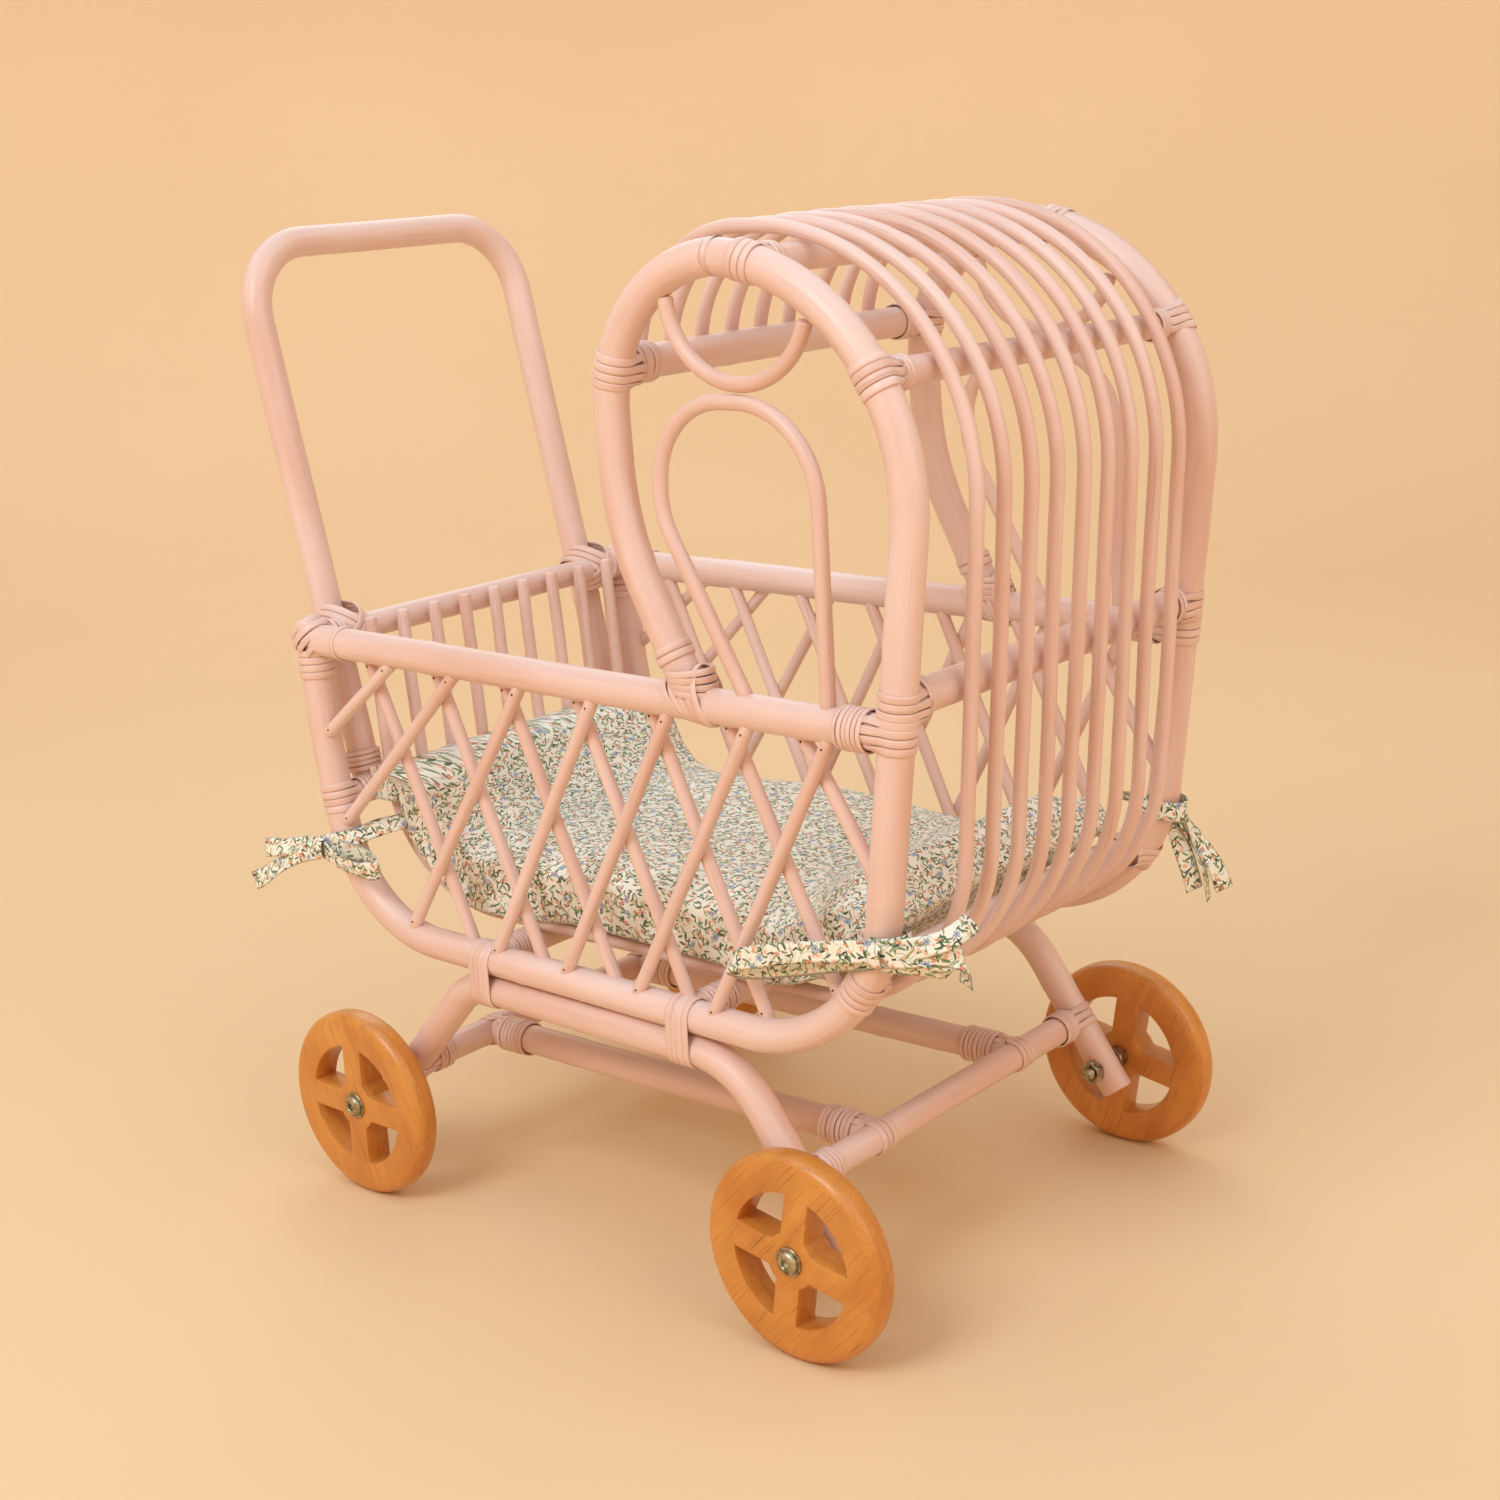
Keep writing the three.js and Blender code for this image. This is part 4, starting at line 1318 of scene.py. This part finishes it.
# ---- bolts and nuts -------------------------------------------------------------------------
def add_turned(shape, place, way, rows, count=48):
    """A turned or hexagonal solid on an axis. A row is (distance along, radius, share of hexagon)."""
    first, second = around(way, Vector((0, 0, 1)))
    made = []
    for along, radius, hexagonal in rows:
        ring = []
        for k in range(count):
            angle = 2 * math.pi * k / count
            part = (angle % (math.pi / 3)) - math.pi / 6
            hex_r = radius / math.cos(part)
            size = radius + (hex_r - radius) * hexagonal
            out = first * math.cos(angle) + second * math.sin(angle)
            ring.append(place + way * (along * MM) + out * (size * MM))
        made.append(shape.ring(ring, [tuple(p) for p in ring]))
    close_rings(shape, made)


def flat_shaded(made, angle=35):
    made.data.set_sharp_from_angle(angle=math.radians(angle))
    return made


THREAD_FROM = -57.0                # measured from the seat of the bolt's head
THREAD_TO = -44
THREAD_PITCH = 1.0
THREAD_ROOT_R = 3.35
SHANK_R = 3.8


def build_axle(side, sign, end_name, end):
    corner = f"{side}_{end_name}"
    way = Vector((sign, 0, 0))
    outer = WHEEL_INNER_X + WHEEL_WIDTH
    y = end * AXLE_Y
    bolt = Shape()
    thread = []
    along = THREAD_FROM
    while along < THREAD_TO:
        thread += [(along, THREAD_ROOT_R, 0), (along + THREAD_PITCH / 2, SHANK_R, 0)]
        along += THREAD_PITCH
    add_turned(
        bolt, at(sign * (outer + 0.3), y, AXLE_Z), way,
        [
            (-58, 3.0, 0), *thread, (-43.5, SHANK_R, 0), (0.0, SHANK_R, 0),
            (0.0, 8.2, 0), (0.0, 8.4, 0),
            (0.7, 8.4, 0), (0.9, 8.2, 0), (0.9, 6.6, 0), (1.1, 6.8, 0), (1.9, 6.75, 0),
            (2.8, 6.3, 0), (3.5, 5.4, 0), (3.9, 4.2, 0), (4.0, 3.2, 0), (4.0, 2.7, 0.4),
            (3.7, 2.35, 1), (1.6, 2.35, 1), (1.5, 0.6, 1),
        ],
    )
    flat_shaded(
        bolt.object(
            f"{corner}_axle_bolt_turned", steel, "steel", replaces=[f"{corner}_axle_bolt"]
        )
    )
    nuts = (
        ("jam_nut", SIDE_X + POLE_R + 0.3, 8.25),
        ("lock_nut", SIDE_X - POLE_R - 7.3, 7.0),
    )
    for name, inner_x, height in nuts:
        nut = Shape()
        add_turned(
            nut, at(sign * inner_x, y, AXLE_Z), way,
            [
                (0.4, 4.0, 0), (0.0, 4.6, 0), (0.0, 6.3, 0), (0.45, 6.5, 0.45), (0.9, 6.5, 1),
                (height - 0.9, 6.5, 1), (height - 0.45, 6.5, 0.45), (height, 6.3, 0),
                (height, 4.6, 0), (height - 0.4, 4.0, 0),
            ],
        )
        node = f"{corner}_{name}"
        flat_shaded(nut.object(f"{node}_hex", steel, "steel", replaces=[node]))


# ---- mattress -------------------------------------------------------------------------------
PAD_HALF = 120
PAD_THICK = 33
PAD_END_THICK = 22
PAD_TAPER = 70                     # the pad thins out over this length at both ends
PAD_LINE = bend(
    [
        (185.5, 250),
        (183.5, 187.5, 80),
        (-142, 187.5, 110),
        (-203, 237),
    ]
)
PAD_STEP = 7.0
PAD_LAYERS = 5                     # rows of quads from the underside to the top
PINCH_ROWS = 9                     # a tuck in the boxing at every ninth row
PINCH_DEPTH = 3.0


def pad_grid():
    """A closed pad of even quads that follows the basket floor, with a UV print map in metres."""
    under = Line([Vector((y, z, 0)) * MM for y, z in PAD_LINE])
    length = under.length
    rows = round(length / MM / PAD_STEP)
    columns = round(2 * PAD_HALF / PAD_STEP)
    layers = PAD_LAYERS
    mesh = bmesh.new()
    grid = {}

    def place(r, c, l):
        s = length * r / rows
        point = under.at(s)
        tangent = under.tangent(s, 0.012)
        up = Vector((tangent.y, -tangent.x, 0))
        near_end = max(0.0, 1 - min(s, length - s) / (PAD_TAPER * MM))
        thick = PAD_THICK + (PAD_END_THICK - PAD_THICK) * near_end * near_end
        lift = thick * MM * l / layers
        x = (2 * c / columns - 1) * PAD_HALF * MM
        flat = point + up * lift
        return Vector((x, flat.x + WHEELBASE_MIDDLE_Y, flat.y))

    for r in range(rows + 1):
        for c in range(columns + 1):
            for l in range(layers + 1):
                if r in (0, rows) or c in (0, columns) or l in (0, layers):
                    grid[r, c, l] = mesh.verts.new(place(r, c, l))
    uv = mesh.loops.layers.uv.new("print")

    def face(keys, spot):
        made = mesh.faces.new([grid[k] for k in keys])
        for loop, key in zip(made.loops, keys):
            loop[uv].uv = spot(*key)
        made.smooth = True

    # Each face of the pad has its own part of the print, so none repeats its neighbour.
    def on_top(r, c, l):
        return (2 * c / columns * PAD_HALF * MM, length * r / rows + (0.5 if l else 0))

    def on_side(r, c, l):
        return (1.1 + PAD_THICK * MM * l / layers, length * r / rows + (0.7 if c else 0))

    def on_end(r, c, l):
        across = 2 * c / columns * PAD_HALF * MM + (0.4 if r else 0)
        return (across, 1.7 + PAD_THICK * MM * l / layers)

    for r in range(rows):
        for c in range(columns):
            for l in (0, layers):
                face([(r, c, l), (r + 1, c, l), (r + 1, c + 1, l), (r, c + 1, l)], on_top)
    for r in range(rows):
        for l in range(layers):
            for c in (0, columns):
                face([(r, c, l), (r + 1, c, l), (r + 1, c, l + 1), (r, c, l + 1)], on_side)
    for c in range(columns):
        for l in range(layers):
            for r in (0, rows):
                face([(r, c, l), (r, c + 1, l), (r, c + 1, l + 1), (r, c, l + 1)], on_end)
    bmesh.ops.recalc_face_normals(mesh, faces=mesh.faces)
    mesh.verts.index_update()
    tucks = [
        (vert.index, 1.0 if 0 < l < layers else 0.45)
        for (r, c, l), vert in grid.items()
        if c in (0, columns) and r % PINCH_ROWS == PINCH_ROWS // 2
    ]
    return mesh, tucks


PAD_CAP = 8 * MM
PAD_PRESSURE = 3.5
SWELL_FRAMES = 20


def swell(pad):
    """Blows the pad up with a short cloth simulation, and caps how far a point may move."""
    scene = bpy.context.scene
    rest = [v.co.copy() for v in pad.data.vertices]
    cloth = pad.modifiers.new("cloth", "CLOTH")
    cloth.settings.quality = 6
    cloth.settings.mass = 0.25
    cloth.settings.tension_stiffness = 12
    cloth.settings.compression_stiffness = 12
    cloth.settings.bending_stiffness = 0.6
    cloth.settings.use_pressure = True
    cloth.settings.uniform_pressure_force = PAD_PRESSURE
    cloth.settings.effector_weights.gravity = 0
    cloth.collision_settings.use_collision = False
    for number in range(1, SWELL_FRAMES + 1):
        scene.frame_set(number)
    settled = pad.evaluated_get(bpy.context.evaluated_depsgraph_get()).to_mesh()
    places = [v.co.copy() for v in settled.vertices]
    pad.evaluated_get(bpy.context.evaluated_depsgraph_get()).to_mesh_clear()
    pad.modifiers.remove(cloth)
    scene.frame_set(1)
    for vert, start, end in zip(pad.data.vertices, rest, places):
        move = end - start
        if move.length > PAD_CAP:
            move = move.normalized() * PAD_CAP
        vert.co = start + move


def tuck(pad, tucks):
    """Pulls the boxing in at the tucks, given as (vertex, share of the full depth)."""
    for index, share in tucks:
        vert = pad.data.vertices[index]
        vert.co.x -= math.copysign(share * PINCH_DEPTH * MM, vert.co.x)


def build_mattress():
    mesh, tucks = pad_grid()
    data = bpy.data.meshes.new("mattress_pad")
    mesh.to_mesh(data)
    mesh.free()
    data.materials.append(floral)
    pad = linked("mattress_pad", data)
    swell(pad)
    tuck(pad, tucks)
    smooth = pad.modifiers.new("smooth", "SUBSURF")
    smooth.levels = smooth.render_levels = 1
    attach(pad, "frame")
    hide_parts("mattress")
    return pad


# ---- ties -----------------------------------------------------------------------------------
RIBBON_WIDTH = 12
RIBBON_HALF_THICK = 0.5
RIBBON_STEP = 0.0035


def smooth_run(places, closed):
    """Places (position, way it faces) with more of them in between, on a curve through all."""
    count = len(places)
    spans = count if closed else count - 1

    def pick(i):
        return places[i % count] if closed else places[min(max(i, 0), count - 1)]

    run = []
    for i in range(spans):
        before, start, end, after = (pick(i + k) for k in (-1, 0, 1, 2))
        steps = max(2, math.ceil((end[0] - start[0]).length / RIBBON_STEP))
        for k in range(steps):
            t = k / steps
            run.append(tuple(
                0.5 * (2 * q + (r - p) * t + (2 * p - 5 * q + 4 * r - u) * t * t
                       + (3 * q - p - 3 * r + u) * t ** 3)
                for p, q, r, u in zip(before, start, end, after)
            ))
    if not closed:
        run.append(places[-1])
    return run


def add_ribbon(shape, places, width=RIBBON_WIDTH, closed=False, seed=0):
    """A flat sewn tie through places ((x, y, z), way it faces); returns its length in metres."""
    run = smooth_run([(at(*spot), Vector(way)) for spot, way in places], closed)
    count = len(run)
    across_steps = 8
    length = 0.0
    made = []
    for i, (place, way) in enumerate(run):
        ahead = run[(i + 1) % count] if closed else run[min(i + 1, count - 1)]
        behind = run[i - 1] if closed or i else run[0]
        along = (ahead[0] - behind[0]).normalized()
        side = along.cross(way).normalized()
        face = side.cross(along).normalized()
        if i:
            length += (place - run[i - 1][0]).length
        ring, grain = [], []
        for layer in (1, -1):
            for k in range(across_steps + (1 if layer > 0 else -1)):
                u = layer * (2 * (k + (layer < 0)) / across_steps - 1)
                wave = noise.noise(Vector((length * 95, u * 1.3, seed)))
                cup = 0.7 * u * u * noise.noise(Vector((length * 30, seed, 4)))
                thick = RIBBON_HALF_THICK * math.sqrt(max(0.0, 1 - u ** 6)) * layer
                squeeze = 1 + 0.08 * noise.noise(Vector((length * 45, 7, seed)))
                ring.append(
                    place + side * (u * width / 2 * squeeze * MM)
                    + face * ((0.55 * wave + cup + thick) * MM)
                )
                grain.append((
                    u * width / 2 * MM + seed * 0.19 + (0.05 if layer < 0 else 0),
                    length + seed * 0.31,
                    0,
                ))
        made.append(shape.ring(ring, grain))
    for one, two in zip(made, made[1:]):
        shape.skin(two, one)
    if closed:
        shape.skin(made[0], made[-1])
        return length + (run[0][0] - run[-1][0]).length
    shape.cap(made[0], True)
    shape.cap(made[-1], False)
    return length


def round_post(centre_y, centre_z, sign, slope, lift=1.3, steps=10):
    """A turn of ribbon round a post, higher on one side by slope for each millimetre of y."""
    places = []
    reach = POLE_R + lift
    for k in range(steps):
        angle = 2 * math.pi * k / steps
        out = Vector((math.cos(angle) * sign, math.sin(angle), 0))
        z = centre_z + slope * reach * out.y
        places.append(((sign * SIDE_X + reach * out.x, centre_y + reach * out.y, z), out))
    return places


def knot_turn(x, y, z, size=5.0, steps=8):
    """A short turn of ribbon round the crossing, in the plane across the pram's length."""
    places = []
    for k in range(steps):
        angle = 2 * math.pi * k / steps
        out = Vector((math.cos(angle), 0, math.sin(angle)))
        places.append(((x + 0.72 * size * out.x, y, z + 1.25 * size * out.z), out))
    return places


NEAR_FRONT_RUNS = (
    (
        ((-153, -224, 238), (-1, 0, 0)), ((-158, -205, 236), (-1, 0, 0.1)),
        ((-160, -176, 230), (-1, 0, 0.1)), ((-160, -148, 222), (-1, 0.1, 0.1)),
        ((-158, -133, 216), (-0.7, 0.7, 0)), ((-154.5, -127, 212), (0, 1, 0)),
        ((-152, -134, 210), (0.8, 0.6, 0)), ((-151.6, -160, 216), (1, 0, 0)),
        ((-151.6, -190, 225), (1, 0, 0)), ((-152, -222, 234), (1, 0, 0)),
    ),
    (
        ((-154, -227, 239), (-1, 0, 0)), ((-152, -243, 243), (-0.8, -0.6, 0)),
        ((-145, -257, 247), (-0.5, -0.8, 0.5)), ((-134, -262, 250), (-0.2, -0.8, 0.8)),
        ((-120, -261, 252), (0, -0.7, 0.8)),
    ),
    (
        ((-155, -226, 237), (-1, 0, 0)), ((-153, -242, 239), (-0.8, -0.6, 0)),
        ((-145, -257, 240), (-0.5, -0.8, 0)), ((-137, -264, 238), (0.2, -0.9, -0.2)),
        ((-133, -266, 231), (0.8, -0.5, 0)), ((-132, -265, 222), (0.9, -0.3, 0)),
    ),
    (
        ((-153, -226, 234), (-1, 0, 0)), ((-151, -241, 233), (-0.7, -0.5, -0.5)),
        ((-145, -252, 231), (-0.5, -0.6, -0.7)), ((-137, -258, 228), (-0.3, -0.6, -0.8)),
    ),
    (
        ((-120, -196, 240), (-0.4, 0.2, 0.9)), ((-126, -208, 240), (-0.4, 0.6, 0.6)),
        ((-129, -218, 239), (1, 0.2, 0)),
    ),
)
REAR_RUNS = (
    (
        ((-119, 172, 234), (-0.5, -0.3, 0.8)), ((-132, 183, 231), (-0.7, -0.4, 0.6)),
        ((-147, 190, 227), (-0.9, -0.3, 0.4)), ((-152, 203, 223), (-1, 0, 0)),
        ((-152, 215, 219), (-1, 0.2, 0)),
    ),
    (
        ((-153, 213, 218), (-1, 0, 0)), ((-158, 196, 215), (-1, 0, -0.2)),
        ((-160, 174, 213), (-1, 0, -0.3)), ((-157, 161, 213), (-0.5, -0.8, 0)),
        ((-153.5, 160, 215), (0.5, -0.8, 0)), ((-151.6, 172, 219), (1, 0, 0.1)),
        ((-151.6, 196, 220), (1, 0, 0)), ((-152, 212, 219), (1, 0, 0)),
    ),
    (
        ((-153, 214, 219), (-1, 0, 0)), ((-154, 230, 217), (-1, 0.2, 0.2)),
        ((-157, 246, 214), (-0.9, 0, 0.5)), ((-158, 265, 211), (-1, 0, 0.2)),
    ),
    (
        ((-154, 215, 217), (-1, 0, 0)), ((-157, 232, 212), (-0.9, 0, 0.3)),
        ((-160, 250, 202), (-0.8, 0, 0.5)), ((-161, 266, 192), (-0.9, 0, 0.3)),
        ((-161, 277, 187), (-1, 0, 0)),
    ),
)
HANGING_LOOP = (
    ((153, 213, 218), (1, 0, 0)), ((158, 214, 208), (1, 0, 0.2)),
    ((161, 216, 192), (1, 0, 0)), ((159, 218, 180), (0.5, 0, -0.8)),
    ((155.5, 218, 178), (-0.5, 0, -0.8)), ((152.5, 216, 188), (-1, 0, 0)),
    ((152, 213, 204), (-1, 0, 0)), ((152, 212, 216), (-1, 0, 0)),
)
FAR_FRONT_RUNS = (
    (
        ((150, -217, 238), (0.6, 0.8, 0)), ((157, -226, 219), (0.6, -0.6, 0.3)),
        ((161, -235, 197), (0.3, -0.9, 0.2)), ((163, -238, 176), (0.3, -0.9, 0)),
    ),
    (
        ((151, -218, 237), (0.5, -0.8, 0)), ((159, -229, 217), (-0.2, -0.9, 0.3)),
        ((164, -241, 199), (-0.4, -0.8, 0.3)), ((166, -247, 183), (-0.5, -0.8, 0)),
    ),
    (
        ((150, -217, 235), (0, -1, 0)), ((151, -222, 219), (-0.3, -0.9, 0)),
        ((153, -229, 200), (-0.5, -0.8, 0)), ((156, -232, 183), (-0.4, -0.9, 0)),
    ),
    (
        ((120, -196, 248), (0.4, 0.2, 0.9)), ((126, -208, 245), (0.4, 0.6, 0.6)),
        ((129, -218, 241), (-1, 0.2, 0)),
    ),
)


def mirrored(runs):
    return tuple(
        tuple(((-x, y, z), (-a, b, c)) for (x, y, z), (a, b, c) in run) for run in runs
    )


def build_tie(name, runs, turn, knot, seed):
    shape = Shape()
    length = sum(add_ribbon(shape, run, seed=seed + 0.1 * i) for i, run in enumerate(runs))
    length += add_ribbon(shape, turn, closed=True, seed=seed + 0.7)
    length += add_ribbon(shape, knot, width=8, closed=True, seed=seed + 0.9)
    tie = shape.object(
        f"{name}_ribbon", floral, "floral_cotton", replaces=[name], printed=True
    )


def build_ties():
    build_tie("near_front_tie", NEAR_FRONT_RUNS, round_post(-223, 239, -1, -0.05),
              knot_turn(-154.5, -226, 237), 1)
    build_tie("near_rear_tie", REAR_RUNS, round_post(203, 222, -1, -0.2),
              knot_turn(-154, 214, 218), 2)
    strap, _, *tails = mirrored(REAR_RUNS)
    far_rear_runs = (strap, HANGING_LOOP, *tails)
    build_tie("far_rear_tie", far_rear_runs, round_post(203, 222, 1, -0.2),
              knot_turn(154, 214, 218), 3)
    build_tie("far_front_tie", FAR_FRONT_RUNS, round_post(-223, 239, 1, 0.12),
              knot_turn(150.5, -216, 237, 4.2), 4)


# ---- stage ----------------------------------------------------------------------------------
BACKDROP_R = 3.2
BACKDROP_BEND = 1.2
BACKDROP_HIGH = 3.4


def build_stage():
    """A round paper sweep: a flat floor that curves up into a wall all the way round."""
    shader = Shader("backdrop_paper")
    place = shader.coordinates((1, 1, 1))
    height = shader.add("ShaderNodeSeparateXYZ", {0: place}).outputs[2]
    tone = shader.noise(place, 1.3, 3.0)
    # painted light and shade: the floor is painted darker and the wall lighter, so the wall looks
    # more lit than the lamps make it
    shaded_floor_tone = shader.ramp(tone, [(0.3, srgb(233, 197, 155)), (0.7, srgb(236, 201, 160))])
    lit_wall_tone = shader.ramp(tone, [(0.3, srgb(247, 210, 169)), (0.7, srgb(250, 214, 174))])
    shader.set(
        Base_Color=shader.mix(shader.stretch(height, 0.0, 1.0), shaded_floor_tone, lit_wall_tone),
        Roughness=0.95,
        Specular_IOR_Level=0.1,
    )
    profile = [(0.0, 0.0), (0.5, 0.0), (1.0, 0.0), (1.5, 0.0), (BACKDROP_R - BACKDROP_BEND, 0.0)]
    for k in range(1, 13):
        angle = math.pi / 2 * k / 12
        profile.append(
            (
                BACKDROP_R - BACKDROP_BEND + BACKDROP_BEND * math.sin(angle),
                BACKDROP_BEND * (1 - math.cos(angle)),
            )
        )
    profile.append((BACKDROP_R, BACKDROP_HIGH))
    points, faces = [(0, 0, 0)], []
    count = 72
    for radius, height in profile[1:]:
        for k in range(count):
            angle = 2 * math.pi * k / count
            points.append((radius * math.cos(angle), radius * math.sin(angle), height))
    for k in range(count):
        faces.append((0, 1 + k, 1 + (k + 1) % count))
    for row in range(len(profile) - 2):
        for k in range(count):
            a, b = 1 + row * count + k, 1 + row * count + (k + 1) % count
            faces.append((a, a + count, b + count, b))
    mesh = bpy.data.meshes.new("floor")
    mesh.from_pydata(points, [], faces)
    mesh.polygons.foreach_set("use_smooth", [True] * len(faces))
    mesh.materials.append(shader.material)
    floor = linked("floor", mesh)


def area_light(name, place, target, size, power, colour):
    data = bpy.data.lights.new(name, "AREA")
    data.shape = "DISK"
    data.size = size
    data.energy = power
    data.color = colour
    light = linked(name, data)
    light.location = place
    light.rotation_euler = (Vector(target) - Vector(place)).to_track_quat("-Z", "Y").to_euler()
    return light


def build_lights():
    area_light("key", (-2.2, -0.1, 2.2), (0, 0, 0.25), 1.3, 38, (0.75, 0.91, 1.0))
    area_light("fill", (-0.4, -2.4, 1.6), (0, 0, 0.25), 1.8, 13, (0.75, 0.91, 1.0))
    area_light("back", (1.6, 1.8, 2.0), (0, 0, 0.2), 1.6, 13, (0.76, 0.91, 1.0))
    world = bpy.data.worlds.new("studio")
    bpy.context.scene.world = world
    world.use_nodes = True
    world.node_tree.nodes["Background"].inputs[0].default_value = (0.73, 0.9, 1.0, 1)
    world.node_tree.nodes["Background"].inputs[1].default_value = 1.05


# ---- everything -----------------------------------------------------------------------------
build_hoops_and_rails()
build_crossbars()
build_basket_canes()
build_lattices()
build_loops()
single_pole("push_handle", handle, HANDLE_R, 4, 60, wander=0.5)
build_chassis()
build_lashings()
for side, sign in SIDES:
    for end_name, end in ENDS:
        build_wheel(side, sign, end, math.radians(12 * sign + 31 * end))
        build_axle(side, sign, end_name, end)
build_mattress()
build_ties()
build_stage()
build_lights()
bpy.context.scene.view_settings.view_transform = "Standard"
